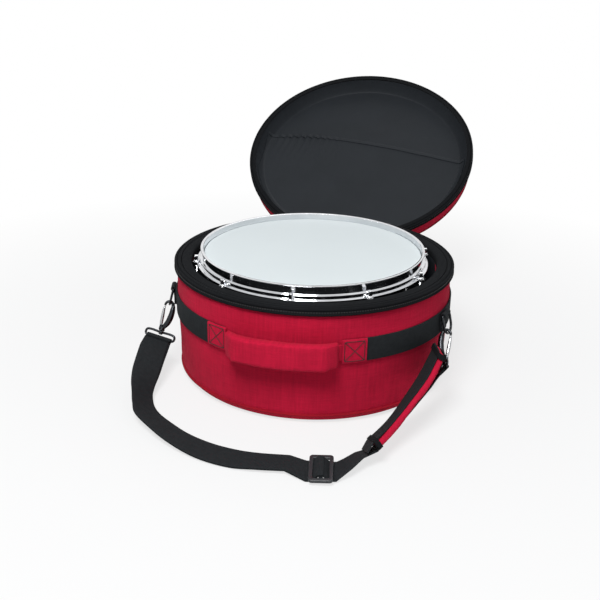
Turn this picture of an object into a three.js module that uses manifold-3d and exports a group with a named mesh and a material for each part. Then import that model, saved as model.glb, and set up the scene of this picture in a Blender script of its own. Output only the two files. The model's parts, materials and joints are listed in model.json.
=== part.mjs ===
// A 14 inch tom tom drum lying flat in its open, padded carry bag, with the bag's shoulder strap
// laid out in front of it. Millimetres, +Z up. The origin is the centre of the bag's base, the
// carry handle is at -Y and the lid's hinge is at +Y. The drum lifts straight out of the bag, the
// lid closes down on the rim, and every tension rod turns in its lug.
import * as THREE from 'three';
import { mergeVertices } from 'three/addons/utils/BufferGeometryUtils.js';
import Module from 'manifold-3d';

const wasm = await Module();
wasm.setup();

// ---------------------------------------------------------------- driving dimensions

const GAP = 0.3; // between pieces that touch
const SIDES = 60; // flats round the drum and the bag
const ROD_SIDES = 12; // flats round a rod or a bore

// drum
const SHELL_RADIUS = 177.8;
const SHELL_DEPTH = 165.1;
const SHELL_WALL = 6;
const HEAD_FILM = 0.8;
const HEAD_RECESS = 10; // from the hoop's rim down to the head
const FLESH_HOOP = 4.9; // radial width of the ring that the film is crimped in
const FLESH_HOOP_HEIGHT = 6;
const FLESH_HOOP_DROP = 8; // from the head's face down to the flesh hoop
const HOOP_SHEET = 2.3;
const HOOP_LIP = 2.4; // how far the rolled rim stands out
const HOOP_FLANGE = 4.9; // how far the lower flange stands out
const HOOP_SKIRT = 13.8; // from the head's face down to the hoop's lower edge
const LUG_COUNT = 10;
const FIRST_LUG = 20.5; // degrees from +X
const EAR_RADIUS = 5.9;
const ROD_RADIUS = 2.8;
const ROD_CLEARANCE = 0.4;
const ROD_GRIP = 18; // length of rod inside the lug
const WASHER_RADIUS = 5;
const WASHER_HEIGHT = 1.5;
const KEY_SQUARE = 6;
const KEY_HEIGHT = 9;
const LUG_HEIGHT = 56;
const LUG_RADIUS = 6.4;
const LUG_FOOT_WIDTH = 15;
const LUG_FOOT_HEIGHT = 36;
const VENT_RADIUS = 5;
const VENT_ANGLE = 38.5; // degrees from +X, half way between two lugs
const DRUM_X = -3; // the drum stands a little off the bag's centre
const DRUM_Y = 0.5;
const DRUM_PLAY = 4.6; // between the hoops' ears and the bag's lining

// bag
const RIM_WIDTH = 28.5;
const RIM_HEIGHT = 12.3;
const RIM_BELOW_HOOP = 17.3; // how far the drum stands above the bag's rim
const WALL_STEP = 4; // the fabric wall is set in this far from the rim
const LINING = 1.7;
const BASE_FOAM = 17.7;

// lid
const LID_DEPTH = 44; // from the rim's top to the edge of the lid's crown
const LID_CROWN = 2;
const LID_PANEL = 12; // thickness of the padded top
const LID_WALL = 10;
const LID_OPEN = 147; // degrees from closed
const POCKET_MOUTH = [-54, -57, -52, -38, -22, -4]; // y of its slack edge, from left to right across the lid
const POCKET_SHEET = 2;
const WEB_HALF_WIDTH = 55;
const WEB_SHEET = 1.5;

// belt, carry handle and ring tabs
const BELT_WIDTH = 37;
const BELT_CENTRE = 121.5;
const BELT_SHEET = 2.2;
const BELT_START = 22.6; // degrees from the front to where the belt begins
const PATCH_SIZE = 38;
const PATCH_SHEET = 1.8;
const PATCH_ANGLE = 27.3;
const GRIP_ANGLE = 18; // half the angle that the grip spans
const GRIP_HEIGHT = 44;
const GRIP_THICKNESS = 18;
const GRIP_STANDOFF = 10; // finger gap between wall and grip
const RING_ANGLE = 75; // degrees from the front to the ring tabs
const TAB_WIDTH = 24;
const RING_WIRE = 2;
const RING_WIDTH = 30;
const RING_DROP = 32;
const RING_BAR_HEIGHT = 135;
const RING_BAR_STANDOFF = 7; // from the wall to the ring's bar
const RING_LEAN = 8; // how much further out the ring's bow hangs

// hooks and shoulder strap
const HOOK_HEIGHT = 54; // from the swivel plate to the crest of the hook
const HOOK_REST = 5.2; // from the crest's middle down to the ring's wire
const LOOP_WIDTH = 55;
const LOOP_HEIGHT = 10;
const LOOP_WIRE = 2;
const PLY = 1.8; // one layer of webbing
const STRAP_WIDTH = 44;
const PAD_WIDTH = 60;
const PAD_THICKNESS = 10;
const SLIDER_WIDTH = 60;
const SLIDER_LENGTH = 34;
const SLIDER_THICKNESS = 3;

// ---------------------------------------------------------------- materials

const paint = (color, roughness, metalness = 0) => new THREE.MeshStandardMaterial({ color, roughness, metalness });
const RED_CLOTH = paint(0xb5213a, 0.8);
const BLACK_CLOTH = paint(0x202324, 0.85);
const LINING_CLOTH = paint(0x33373b, 0.7);
const WEBBING = paint(0x1c1e1f, 0.85);
const DRUMHEAD = paint(0xdde6ea, 0.5);
const LACQUER = paint(0x15161a, 0.2);
const CHROME = paint(0xc9cdd2, 0.15, 1);
const GUNMETAL = paint(0x4a4c50, 0.35, 1);
const MOULDED = paint(0x26282a, 0.5);

// ---------------------------------------------------------------- solids

// Keeps position only and merges the shared corners, so that the mesh is one closed surface.
function welded(geometry) {
  const bare = geometry.clone();
  bare.deleteAttribute('normal');
  bare.deleteAttribute('uv');
  return mergeVertices(bare, 1e-4);
}

function toSolid(geometry) {
  const mesh = welded(geometry);
  return new wasm.Manifold(new wasm.Mesh({
    numProp: 3,
    vertProperties: new Float32Array(mesh.attributes.position.array),
    triVerts: new Uint32Array(mesh.index.array),
  }));
}

function toGeometry(solid) {
  const mesh = solid.getMesh();
  const geometry = new THREE.BufferGeometry();
  geometry.setAttribute('position', new THREE.BufferAttribute(new Float32Array(mesh.vertProperties), 3));
  geometry.setIndex(new THREE.BufferAttribute(new Uint32Array(mesh.triVerts), 1));
  return geometry;
}

const join = (...parts) => toGeometry(parts.map(toSolid).reduce((all, part) => all.add(part)));
const cut = (body, ...tools) => toGeometry(tools.map(toSolid).reduce((all, tool) => all.subtract(tool), toSolid(body)));

// A profile of [radius, height] turned about Z. It starts and ends on the axis or is a closed ring.
function turned(profile) {
  const ring = profile[0][0] > 0 ? profile.concat([profile[0]]) : profile;
  const geometry = new THREE.LatheGeometry(ring.map(([r, z]) => new THREE.Vector2(r, z)), SIDES).rotateX(Math.PI / 2);
  return facingOut(welded(geometry));
}

function cylinder(radius, height, sides = ROD_SIDES) {
  return new THREE.CylinderGeometry(radius, radius, height, sides).rotateX(Math.PI / 2);
}

// A cylinder that stands on z = low.
const post = (radius, low, high, sides) => cylinder(radius, high - low, sides).translate(0, 0, (low + high) / 2);

function box(low, high) {
  const size = high.map((value, i) => value - low[i]);
  return new THREE.BoxGeometry(...size).translate(...low.map((value, i) => value + size[i] / 2));
}

// Joins a row of equal sections, each a ring of points, into one closed skin.
function loft(sections, closed = false) {
  const sides = sections[0].length;
  const positions = sections.flat().flatMap((point) => [point.x, point.y, point.z]);
  const index = [];
  const rows = closed ? sections.length : sections.length - 1;
  for (let row = 0; row < rows; row += 1) {
    const next = (row + 1) % sections.length;
    for (let side = 0; side < sides; side += 1) {
      const turn = (side + 1) % sides;
      const [a, b] = [row * sides + side, row * sides + turn];
      const [c, d] = [next * sides + side, next * sides + turn];
      index.push(a, b, d, a, d, c);
    }
  }
  if (!closed) {
    const last = (sections.length - 1) * sides;
    for (let side = 1; side < sides - 1; side += 1) {
      index.push(0, side + 1, side, last, last + side, last + side + 1);
    }
  }
  const geometry = new THREE.BufferGeometry();
  geometry.setAttribute('position', new THREE.Float32BufferAttribute(positions, 3));
  geometry.setIndex(index);
  return facingOut(geometry);
}

// Closes two equal grids of points, one behind the other, into one sheet.
function sheet(front, back) {
  const [rows, columns] = [front.length, front[0].length];
  const at = (side, row, column) => (side * rows + row) * columns + column;
  const index = [];
  const quad = (a, b, c, d) => index.push(a, b, c, a, c, d);
  for (let i = 0; i + 1 < rows; i += 1) {
    for (let j = 0; j + 1 < columns; j += 1) {
      quad(at(0, i, j), at(0, i, j + 1), at(0, i + 1, j + 1), at(0, i + 1, j));
      quad(at(1, i, j), at(1, i + 1, j), at(1, i + 1, j + 1), at(1, i, j + 1));
    }
    quad(at(0, i, 0), at(0, i + 1, 0), at(1, i + 1, 0), at(1, i, 0));
    quad(at(0, i, columns - 1), at(1, i, columns - 1), at(1, i + 1, columns - 1), at(0, i + 1, columns - 1));
  }
  for (let j = 0; j + 1 < columns; j += 1) {
    quad(at(0, 0, j), at(1, 0, j), at(1, 0, j + 1), at(0, 0, j + 1));
    quad(at(0, rows - 1, j), at(0, rows - 1, j + 1), at(1, rows - 1, j + 1), at(1, rows - 1, j));
  }
  const positions = [...front.flat(), ...back.flat()].flatMap(({ x, y, z }) => [x, y, z]);
  const geometry = new THREE.BufferGeometry();
  geometry.setAttribute('position', new THREE.Float32BufferAttribute(positions, 3));
  geometry.setIndex(index);
  return facingOut(geometry);
}

// Turns the faces round when they enclose a negative volume.
function facingOut(geometry) {
  const index = Array.from(geometry.index.array);
  const corner = (i) => new THREE.Vector3().fromBufferAttribute(geometry.attributes.position, index[i]);
  let sum = 0;
  for (let i = 0; i < index.length; i += 3) sum += corner(i).dot(corner(i + 1).cross(corner(i + 2)));
  if (sum < 0) geometry.setIndex(index.map((_, i) => index[i - (i % 3) + (2 - (i % 3))]));
  return geometry;
}

const vec = (x, y, z) => new THREE.Vector3(x, y, z);
const radians = THREE.MathUtils.degToRad;

// A point at an angle from the front (-Y), counted towards +X.
const around = (degrees, radius, z = 0) => vec(radius * Math.sin(radians(degrees)), -radius * Math.cos(radians(degrees)), z);

// A round wire along points, with its radius at each one.
function wire(points, radius, closed = false, sides = 8, sideways = null) {
  const sections = points.map((point, i) => {
    const before = points[closed ? (i + points.length - 1) % points.length : Math.max(i - 1, 0)];
    const after = points[closed ? (i + 1) % points.length : Math.min(i + 1, points.length - 1)];
    const along = after.clone().sub(before).normalize();
    const across = sideways.clone().addScaledVector(along, -sideways.dot(along)).normalize();
    const up = along.clone().cross(across);
    const r = typeof radius === 'number' ? radius : radius[i];
    return Array.from({ length: sides }, (_, k) => {
      const turn = (2 * Math.PI * (k + 0.5)) / sides;
      return point.clone().addScaledVector(across, r * Math.cos(turn)).addScaledVector(up, r * Math.sin(turn));
    });
  });
  return loft(sections, closed);
}

// The radius at which a 60-sided ring's flat lies at an angle from the front.
function flatRadius(radius, degrees) {
  const step = 360 / SIDES;
  const off = (((degrees % step) + step) % step) - step / 2;
  return (radius * Math.cos(radians(step / 2))) / Math.cos(radians(off));
}

// Part of a ring that lies on the flats of the bag, between two angles from the front.
function ringPart(inner, outer, low, high, from, to) {
  const step = 360 / SIDES;
  const angles = [from];
  for (let k = Math.ceil(from / step + 1e-6); k * step < to - 1e-6; k += 1) angles.push(k * step);
  angles.push(to);
  return loft(angles.map((angle) => {
    const [near, far] = [flatRadius(inner, angle), flatRadius(outer, angle)];
    return [around(angle, near, low), around(angle, far, low), around(angle, far, high), around(angle, near, high)];
  }));
}

// ---------------------------------------------------------------- the scene graph

const part = new THREE.Group();

function add(parent, name, material, geometry) {
  const mesh = new THREE.Mesh(geometry, material);
  mesh.name = name;
  parent.add(mesh);
  return mesh;
}

// ---------------------------------------------------------------- drum

// Everything on the drum is measured from the mid-plane of its shell, and the lower half is the
// upper half turned over.
const HEAD_FACE = SHELL_DEPTH / 2 + HEAD_FILM + GAP; // outer face of the film
const DRUM_HALF = HEAD_FACE + HEAD_RECESS;
const COLLAR = SHELL_RADIUS + GAP; // inside of the film's collar
const FLESH_OUTER = COLLAR + FLESH_HOOP;
const HOOP_THROAT = COLLAR + HEAD_FILM + 0.4; // inside of the hoop's upper wall
const HOOP_INNER = FLESH_OUTER + GAP; // inside of its skirt
const ROD_CIRCLE = HOOP_INNER + HOOP_SHEET + WASHER_RADIUS + 0.4;
const EAR_TOP = HEAD_FACE - HOOP_SKIRT + HOOP_SHEET;
const LUG_BORE = ROD_RADIUS + GAP;

function drumShell() {
  const half = SHELL_DEPTH / 2;
  const edge = 2.4; // depth of the bearing edge's outer bevel
  const inner = SHELL_RADIUS - SHELL_WALL;
  const profile = [
    [inner, -half + 4], [SHELL_RADIUS - edge, -half], [SHELL_RADIUS, -half + edge],
    [SHELL_RADIUS, half - edge], [SHELL_RADIUS - edge, half], [inner, half - 4],
  ];
  const vent = cylinder(VENT_RADIUS, 4 * SHELL_WALL).rotateY(Math.PI / 2).translate(SHELL_RADIUS, 0, 0);
  return cut(turned(profile), vent.rotateZ(radians(VENT_ANGLE)));
}

// A film with its collar, crimped in a flesh hoop.
function drumHead() {
  const face = HEAD_FACE;
  const corner = 3; // where the film turns down over the bearing edge
  const outer = COLLAR + HEAD_FILM;
  return turned([
    [0, face], [outer - corner, face], [outer, face - corner],
    [outer, face - FLESH_HOOP_DROP], [FLESH_OUTER, face - FLESH_HOOP_DROP],
    [FLESH_OUTER, face - FLESH_HOOP_DROP - FLESH_HOOP_HEIGHT], [COLLAR, face - FLESH_HOOP_DROP - FLESH_HOOP_HEIGHT],
    [COLLAR, face - corner - 0.3], [outer - corner - 0.3, face - HEAD_FILM], [0, face - HEAD_FILM],
  ]);
}

// A triple-flanged hoop: rolled rim, step over the flesh hoop, and a flange with an ear per rod.
function counterHoop() {
  const rim = HEAD_FACE + HEAD_RECESS;
  const step = HEAD_FACE - FLESH_HOOP_DROP + GAP;
  const low = HEAD_FACE - HOOP_SKIRT;
  const wall = HOOP_THROAT + HOOP_SHEET;
  const skirt = HOOP_INNER + HOOP_SHEET;
  const ring = turned([
    [HOOP_THROAT, rim - 1], [HOOP_THROAT, step], [HOOP_INNER, step], [HOOP_INNER, low],
    [skirt + HOOP_FLANGE, low], [skirt + HOOP_FLANGE, low + HOOP_SHEET], [skirt, low + HOOP_SHEET],
    [skirt, step + HOOP_SHEET], [wall, step + HOOP_SHEET], [wall, rim - HOOP_SHEET],
    [wall + HOOP_LIP, rim - HOOP_SHEET], [wall + HOOP_LIP, rim - 0.6], [HOOP_THROAT + 1, rim],
  ]);
  const ear = () => join(
    post(EAR_RADIUS, low, low + HOOP_SHEET).translate(ROD_CIRCLE, 0, 0),
    box([skirt - HOOP_SHEET / 2, -EAR_RADIUS - 1.5, low], [ROD_CIRCLE, EAR_RADIUS + 1.5, low + HOOP_SHEET]),
  );
  const hole = () => post(ROD_RADIUS + ROD_CLEARANCE, low - 1, low + HOOP_SHEET + 1).translate(ROD_CIRCLE, 0, 0);
  return cut(join(ring, ...atLugs(ear)), ...atLugs(hole));
}

const lugAngle = (k) => radians(FIRST_LUG + (360 * k) / LUG_COUNT);
const atLugs = (make) => Array.from({ length: LUG_COUNT }, (_, k) => make().rotateZ(lugAngle(k)));

// A square-headed rod with its washer, hanging from the ear down into the lug.
function tensionRod() {
  const seat = EAR_TOP + GAP;
  const flange = seat + WASHER_HEIGHT;
  const half = KEY_SQUARE / 2;
  return join(
    post(ROD_RADIUS, LUG_HEIGHT / 2 - ROD_GRIP, seat + 0.5),
    post(WASHER_RADIUS, seat, flange),
    box([-half, -half, flange - 0.5], [half, half, flange + KEY_HEIGHT]),
  );
}

// A tube for two rods, held off the shell by its foot.
function lug() {
  const foot = box(
    [SHELL_RADIUS + GAP, -LUG_FOOT_WIDTH / 2, -LUG_FOOT_HEIGHT / 2],
    [ROD_CIRCLE - LUG_RADIUS / 2, LUG_FOOT_WIDTH / 2, LUG_FOOT_HEIGHT / 2],
  );
  const tube = post(LUG_RADIUS, -LUG_HEIGHT / 2, LUG_HEIGHT / 2).translate(ROD_CIRCLE, 0, 0);
  const bore = post(LUG_BORE, -LUG_HEIGHT, LUG_HEIGHT).translate(ROD_CIRCLE, 0, 0);
  return cut(join(foot, tube), bore);
}

function buildDrum() {
  const drum = new THREE.Group();
  drum.position.set(DRUM_X, DRUM_Y, DRUM_FLOOR + DRUM_HALF);
  part.add(drum);
  const resonant = new THREE.Group(); // turned over about the line of the first lug
  resonant.rotation.x = Math.PI;
  const turn = new THREE.Group();
  turn.rotation.z = 2 * lugAngle(0);
  turn.add(resonant);
  drum.add(turn);
  add(drum, 'drum_shell', LACQUER, drumShell());
  for (const [group, side] of [[drum, 'batter'], [resonant, 'resonant']]) {
    add(group, `${side}_head`, DRUMHEAD, drumHead());
    add(group, `${side}_hoop`, CHROME, counterHoop());
    for (let k = 0; k < LUG_COUNT; k += 1) {
      const rod = add(group, `${side}_rod_${number(k)}`, CHROME, tensionRod());
      const angle = side === 'batter' ? lugAngle(k) : 2 * lugAngle(0) - lugAngle(k);
      rod.position.set(ROD_CIRCLE * Math.cos(angle), ROD_CIRCLE * Math.sin(angle), 0);
      rod.rotation.z = angle;
    }
  }
  for (let k = 0; k < LUG_COUNT; k += 1) add(drum, `lug_${number(k)}`, CHROME, lug()).rotation.z = lugAngle(k);
}

const number = (k) => String(k + 1).padStart(2, '0');

// ---------------------------------------------------------------- bag

const DRUM_FLOOR = BASE_FOAM + LINING + 2 * GAP;
const RIM_TOP = DRUM_FLOOR + 2 * DRUM_HALF - RIM_BELOW_HOOP;
const CAVITY_RADIUS = ROD_CIRCLE + EAR_RADIUS + DRUM_PLAY; // inside of the lining
const RIM_RADIUS = CAVITY_RADIUS + RIM_WIDTH;
const WALL_RADIUS = RIM_RADIUS - WALL_STEP;
const BASE_RADIUS = WALL_RADIUS - 18; // flat part of the base
const HINGE_Y = RIM_RADIUS + 4;
const HINGE_Z = RIM_TOP - 28;
const WALL_TOP = RIM_TOP - RIM_HEIGHT - GAP;
const BELT_INNER = WALL_RADIUS + GAP;
const BELT_OUTER = BELT_INNER + BELT_SHEET;

function bagShell() {
  const inner = CAVITY_RADIUS + LINING + GAP;
  return turned([
    [0, 0], [BASE_RADIUS, 0], [WALL_RADIUS - 10, 2.5], [WALL_RADIUS - 6, 9], [WALL_RADIUS - 3.5, 16],
    [WALL_RADIUS - 1, 60], [WALL_RADIUS, BELT_CENTRE], [WALL_RADIUS, WALL_TOP],
    [inner, WALL_TOP], [inner, BASE_FOAM], [0, BASE_FOAM],
  ]);
}

function bagLining() {
  const outer = CAVITY_RADIUS + LINING;
  const floor = BASE_FOAM + GAP;
  return turned([
    [0, floor], [outer, floor], [outer, WALL_TOP], [CAVITY_RADIUS, WALL_TOP],
    [CAVITY_RADIUS, floor + LINING], [0, floor + LINING],
  ]);
}

const ring = (inner, outer, low, high) => turned([[inner, low], [outer, low], [outer, high], [inner, high]]);

// The belt runs from patch to patch round the back. At each side a tab is folded round a ring's bar.
function sideBelt() {
  const low = BELT_CENTRE - BELT_WIDTH / 2;
  const belt = ringPart(BELT_INNER, BELT_OUTER, low, low + BELT_WIDTH, BELT_START, 360 - BELT_START);
  const sleeve = (radius, width) => cylinder(radius, width).rotateY(Math.PI / 2).translate(0, -RING_BAR_RADIUS, RING_BAR_HEIGHT);
  const half = TAB_WIDTH / 2;
  const fold = TAB_BORE + PLY;
  const tab = (side) => cut(
    join(
      box([-half, -BELT_OUTER - PLY, BELT_CENTRE], [half, -BELT_INNER - PLY / 4, RING_BAR_HEIGHT + fold + 2]),
      box([-half, -RING_BAR_RADIUS, RING_BAR_HEIGHT - fold + 0.2], [half, -BELT_OUTER, RING_BAR_HEIGHT + fold - 0.2]),
      sleeve(fold, TAB_WIDTH),
    ),
    sleeve(TAB_BORE, TAB_WIDTH + 2),
  ).rotateZ(radians(side * RING_ANGLE));
  return join(belt, tab(1), tab(-1));
}

const RING_BAR_RADIUS = WALL_RADIUS + RING_BAR_STANDOFF;
const TAB_BORE = RING_WIRE + 0.5;

// A stitched square of cloth over the belt's end, holding one end of the carry handle.
function handlePatch(side) {
  const half = (PATCH_SIZE / 2 / BELT_OUTER) * THREE.MathUtils.RAD2DEG;
  const [from, to] = [side * PATCH_ANGLE - half, side * PATCH_ANGLE + half];
  const [inner, low] = [BELT_OUTER + GAP, BELT_CENTRE - PATCH_SIZE / 2];
  return ringPart(inner, inner + PATCH_SHEET, low, low + PATCH_SIZE, from, to);
}

// A padded grip bent round the wall, drawn in at each end to a strap that reaches its patch.
function carryHandle() {
  const inner = WALL_RADIUS + GRIP_STANDOFF;
  const outer = inner + GRIP_THICKNESS;
  const half = GRIP_HEIGHT / 2;
  const section = (angle, near, far, height) => [
    around(angle, near, BELT_CENTRE - height + 1), around(angle, near + 1, BELT_CENTRE - height),
    around(angle, far - 2, BELT_CENTRE - height), around(angle, far, BELT_CENTRE - height + 2),
    around(angle, far, BELT_CENTRE + height - 2), around(angle, far - 2, BELT_CENTRE + height),
    around(angle, near + 1, BELT_CENTRE + height), around(angle, near, BELT_CENTRE + height - 1),
  ];
  const end = ((PATCH_ANGLE * Math.PI) / 180 - PATCH_SIZE / 2 / BELT_OUTER) * THREE.MathUtils.RAD2DEG;
  const strap = BELT_OUTER + 1.5;
  const halfGrip = [
    section(end - 0.15, strap, strap + 3.5, 5), section(end - 1.6, strap + 1, strap + 5.5, 7),
    section(GRIP_ANGLE, inner + 2, outer - 2, half - 5), section(GRIP_ANGLE - 1, inner, outer, half),
    section(GRIP_ANGLE / 2, inner, outer, half), section(0, inner, outer, half),
  ];
  const mirrored = halfGrip.slice(0, -1).reverse();
  return loft(halfGrip.concat(mirrored.map((points) => points.map((p) => vec(-p.x, p.y, p.z)))));
}

// A D-shaped ring in its own plane: a point of its bow, at an angle below its front end.
function bowPoint(degrees) {
  const half = RING_WIDTH / 2;
  return ringPoint(-half * Math.cos(radians(degrees)), RING_DROP - half + half * Math.sin(radians(degrees)));
}

// The ring's plane hangs from the bar in the tab's fold and leans out.
function ringPoint(x, drop) {
  const lean = (drop / RING_DROP) * RING_LEAN;
  return vec(x, -RING_BAR_RADIUS - lean, RING_BAR_HEIGHT - Math.sqrt(drop * drop - lean * lean));
}

function dRing() {
  const half = RING_WIDTH / 2;
  const route = [ringPoint(half, 1.5), ringPoint(half - 1.5, 0), ringPoint(1.5 - half, 0), ringPoint(-half, 1.5)];
  for (let turn = 0; turn <= 180; turn += 20) route.push(bowPoint(turn));
  return wire(route, RING_WIRE, true, 8, vec(0, -RING_DROP, -RING_LEAN).normalize());
}

function zipSlider() {
  const outside = RIM_RADIUS + GAP;
  const body = box([-5, -outside - 5, RIM_TOP - 8.5], [5, -outside, RIM_TOP]);
  const bridge = box([-1.5, -outside - 7.5, RIM_TOP - 7], [1.5, -outside - 4.5, RIM_TOP - 1.5]);
  const pull = box([-3.5, -outside - 7.5, RIM_TOP - 36], [3.5, -outside - 6, RIM_TOP - 5]);
  return join(body, bridge, pull);
}

function buildBag() {
  add(part, 'bag_shell', RED_CLOTH, bagShell());
  add(part, 'bag_lining', LINING_CLOTH, bagLining());
  add(part, 'rim_band', BLACK_CLOTH, ring(CAVITY_RADIUS, RIM_RADIUS, RIM_TOP - RIM_HEIGHT, RIM_TOP));
  add(part, 'side_belt', WEBBING, sideBelt());
  add(part, 'carry_handle', RED_CLOTH, carryHandle());
  for (const [side, name] of SIDE_NAMES) {
    add(part, `handle_patch_${name}`, RED_CLOTH, handlePatch(side));
    add(part, `d_ring_${name}`, GUNMETAL, dRing()).rotation.z = radians(side * RING_ANGLE);
    add(part, `zip_slider_${name}`, GUNMETAL, zipSlider()).rotation.z = radians(side * ZIP_PARK);
  }
}

const SIDE_NAMES = [[-1, 'left'], [1, 'right']];
const ZIP_PARK = 156; // degrees from the front to where an open zip's slider rests

// ---------------------------------------------------------------- lid

// The lid is made closed and its group is turned back about the hinge.
function buildLid() {
  const lid = new THREE.Group();
  lid.position.set(0, HINGE_Y, HINGE_Z);
  lid.rotation.x = -radians(LID_OPEN);
  part.add(lid);
  const closed = new THREE.Group();
  closed.position.set(0, -HINGE_Y, -HINGE_Z);
  lid.add(closed);

  const mouth = RIM_TOP + 0.4;
  const top = RIM_TOP + LID_DEPTH;
  const ceiling = top - LID_PANEL;
  const wall = mouth + RIM_HEIGHT + GAP; // where the rim band ends and the cloth wall starts
  const inside = WALL_RADIUS - LID_WALL;
  add(closed, 'lid_rim', BLACK_CLOTH, ring(inside - 2, RIM_RADIUS, mouth, mouth + RIM_HEIGHT));
  add(closed, 'lid_shell', RED_CLOTH, turned([
    [0, ceiling], [inside, ceiling], [inside, wall], [WALL_RADIUS, wall], [WALL_RADIUS, top - 9],
    [WALL_RADIUS - 4, top - 3], [WALL_RADIUS - 13, top], [0, top + LID_CROWN],
  ]));
  const lining = inside - GAP;
  add(closed, 'lid_lining', LINING_CLOTH, turned([
    [0, ceiling - GAP - LINING], [lining - LINING, ceiling - GAP - LINING], [lining - LINING, wall],
    [lining, wall], [lining, ceiling - GAP], [0, ceiling - GAP],
  ]));
  add(closed, 'lid_pocket', LINING_CLOTH, lidPocket(lining - LINING - 1, ceiling - LINING - 2 * GAP));
}

// A panel sewn over the hinge half of the lining, with a slack mouth.
function lidPocket(radius, high) {
  const [left, right] = [POCKET_MOUTH[0], POCKET_MOUTH.at(-1)];
  const [start, end] = [-Math.sqrt(radius ** 2 - left ** 2), Math.sqrt(radius ** 2 - right ** 2)];
  const outline = new THREE.Shape();
  outline.absarc(0, 0, radius, Math.asin(right / radius), Math.PI - Math.asin(left / radius), false);
  POCKET_MOUTH.slice(1, -1).forEach((y, i) => outline.lineTo(start + ((end - start) * (i + 1)) / (POCKET_MOUTH.length - 1), y));
  outline.closePath();
  return new THREE.ExtrudeGeometry(outline, { depth: POCKET_SHEET, bevelEnabled: false, curveSegments: 28 })
    .translate(0, 0, high - POCKET_SHEET);
}

// A strip of cloth from the back of the wall to the open lid's rim, curved to lie on both.
function hingeWeb() {
  // where a point of the closed lid lies once the lid is open
  const opened = (x, y, z) => vec(x, y - HINGE_Y, z - HINGE_Z)
    .applyAxisAngle(vec(1, 0, 0), -radians(LID_OPEN)).add(vec(0, HINGE_Y, HINGE_Z));
  const [near, far] = [RIM_TOP + 0.4, RIM_TOP + RIM_HEIGHT - 1];
  const corners = [1, 2].map((k) => WALL_RADIUS * Math.sin((k * 2 * Math.PI) / SIDES)); // of the wall's flats
  const across = [-WEB_HALF_WIDTH, -corners[1], -corners[0], 0, corners[0], corners[1], WEB_HALF_WIDTH];
  const face = (depth) => {
    const wall = (x) => Math.sqrt((WALL_RADIUS + GAP) ** 2 - x * x) + depth;
    const rim = (x) => Math.sqrt((RIM_RADIUS + GAP) ** 2 - x * x) + WEB_SHEET - depth;
    return [
      across.map((x) => vec(x, wall(x), HINGE_Z - 10)),
      across.map((x) => vec(x, wall(x), HINGE_Z + 3 + 0.8 * depth)),
      across.map((x) => vec(x, wall(x) + 3.4 - 0.2 * depth, HINGE_Z + 3.6 + 0.7 * depth)),
      across.map((x) => opened(x, rim(x), near - 2)),
      across.map((x) => opened(x, rim(x), far)),
    ];
  };
  return sheet(face(0), face(WEB_SHEET));
}

// ---------------------------------------------------------------- hooks

// Each hook hangs from its ring's bow. In its own frame the swivel plate is at the origin, +Z runs
// up to the crest, and the gate is on the +X side, away from the bag.
const HOOKS = {
  left: { down: vec(-0.19, -0.45, -0.87).normalize(), bar: vec(-0.95, 0.15, 0.23) },
  right: { down: vec(0.03, -0.62, -0.78).normalize(), bar: vec(0.21, -0.76, 0.61) },
};

// The hook has slid round the ring's bow to where the strap pulls it.
function hookFrame(side, name, along) {
  const up = HOOKS[name].down.clone().negate();
  const [outward, front] = [around(side * RING_ANGLE, 1), around(side * (RING_ANGLE - 90), 1)];
  const flat = (direction) => direction.clone().addScaledVector(up, -direction.dot(up)).normalize();
  const x = flat(along ?? outward);
  const seat = bowPoint(Math.atan2(up.z, -up.dot(front)) * THREE.MathUtils.RAD2DEG);
  seat.x *= side > 0 ? 1 : -1;
  seat.applyAxisAngle(vec(0, 0, 1), radians(side * RING_ANGLE));
  const origin = seat.addScaledVector(flat(outward), -0.3).addScaledVector(up, HOOK_REST - HOOK_HEIGHT);
  return new THREE.Matrix4().makeBasis(x, up.clone().cross(x), up).setPosition(origin);
}

const HOOK_AXIS_Y = vec(0, 1, 0);
const PLATE = 2; // half the thickness of the loop's swivel plate
const GATE_PIVOT = [3.6, 11];

function snapHook() {
  const route = [
    [0, 7], [-2.6, 11], [-5.8, 18], [-7.4, 29], [-7.4, HOOK_HEIGHT - 12], [-6, HOOK_HEIGHT - 6], [-3.4, HOOK_HEIGHT - 1.8],
    [0.6, HOOK_HEIGHT - 0.3], [4.6, HOOK_HEIGHT - 2.2], [6.8, HOOK_HEIGHT - 6], [7, HOOK_HEIGHT - 9.5],
  ].map(([x, z]) => vec(x, 0, z));
  const thickness = [3.4, 3.3, 3, 2.8, 2.6, 2.5, 2.4, 2.3, 2.3, 2.1, 1.9];
  const cheek = (y) => box([1, y - 0.6, 4], [GATE_PIVOT[0] + 1.8, y + 0.6, GATE_PIVOT[1] + 1.8]);
  return join(
    wire(route, thickness, false, 8, HOOK_AXIS_Y),
    post(5, PLATE + GAP, 8),
    post(2, -PLATE - 1, PLATE + 1),
    post(3.4, -PLATE - GAP - 1.6, -PLATE - GAP),
    cheek(-2.9), cheek(2.9),
    cylinder(0.9, 6).rotateX(Math.PI / 2).translate(GATE_PIVOT[0], 0, GATE_PIVOT[1]),
  );
}

// The sprung gate that closes the hook's mouth, drilled for its pin.
function hookGate() {
  const [x, z] = GATE_PIVOT;
  const tip = HOOK_HEIGHT - 10.2;
  const bar = wire([vec(x, 0, z), vec(x + 0.6, 0, z + 4), vec(6.8, 0, tip - 4), vec(7, 0, tip)], [1.7, 1.4, 1.3, 1.3], false, 8, HOOK_AXIS_Y);
  const root = cylinder(2, 4).rotateX(Math.PI / 2).translate(x, 0, z);
  return cut(join(bar, root), cylinder(0.9 + GAP, 6).rotateX(Math.PI / 2).translate(x, 0, z));
}

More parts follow.
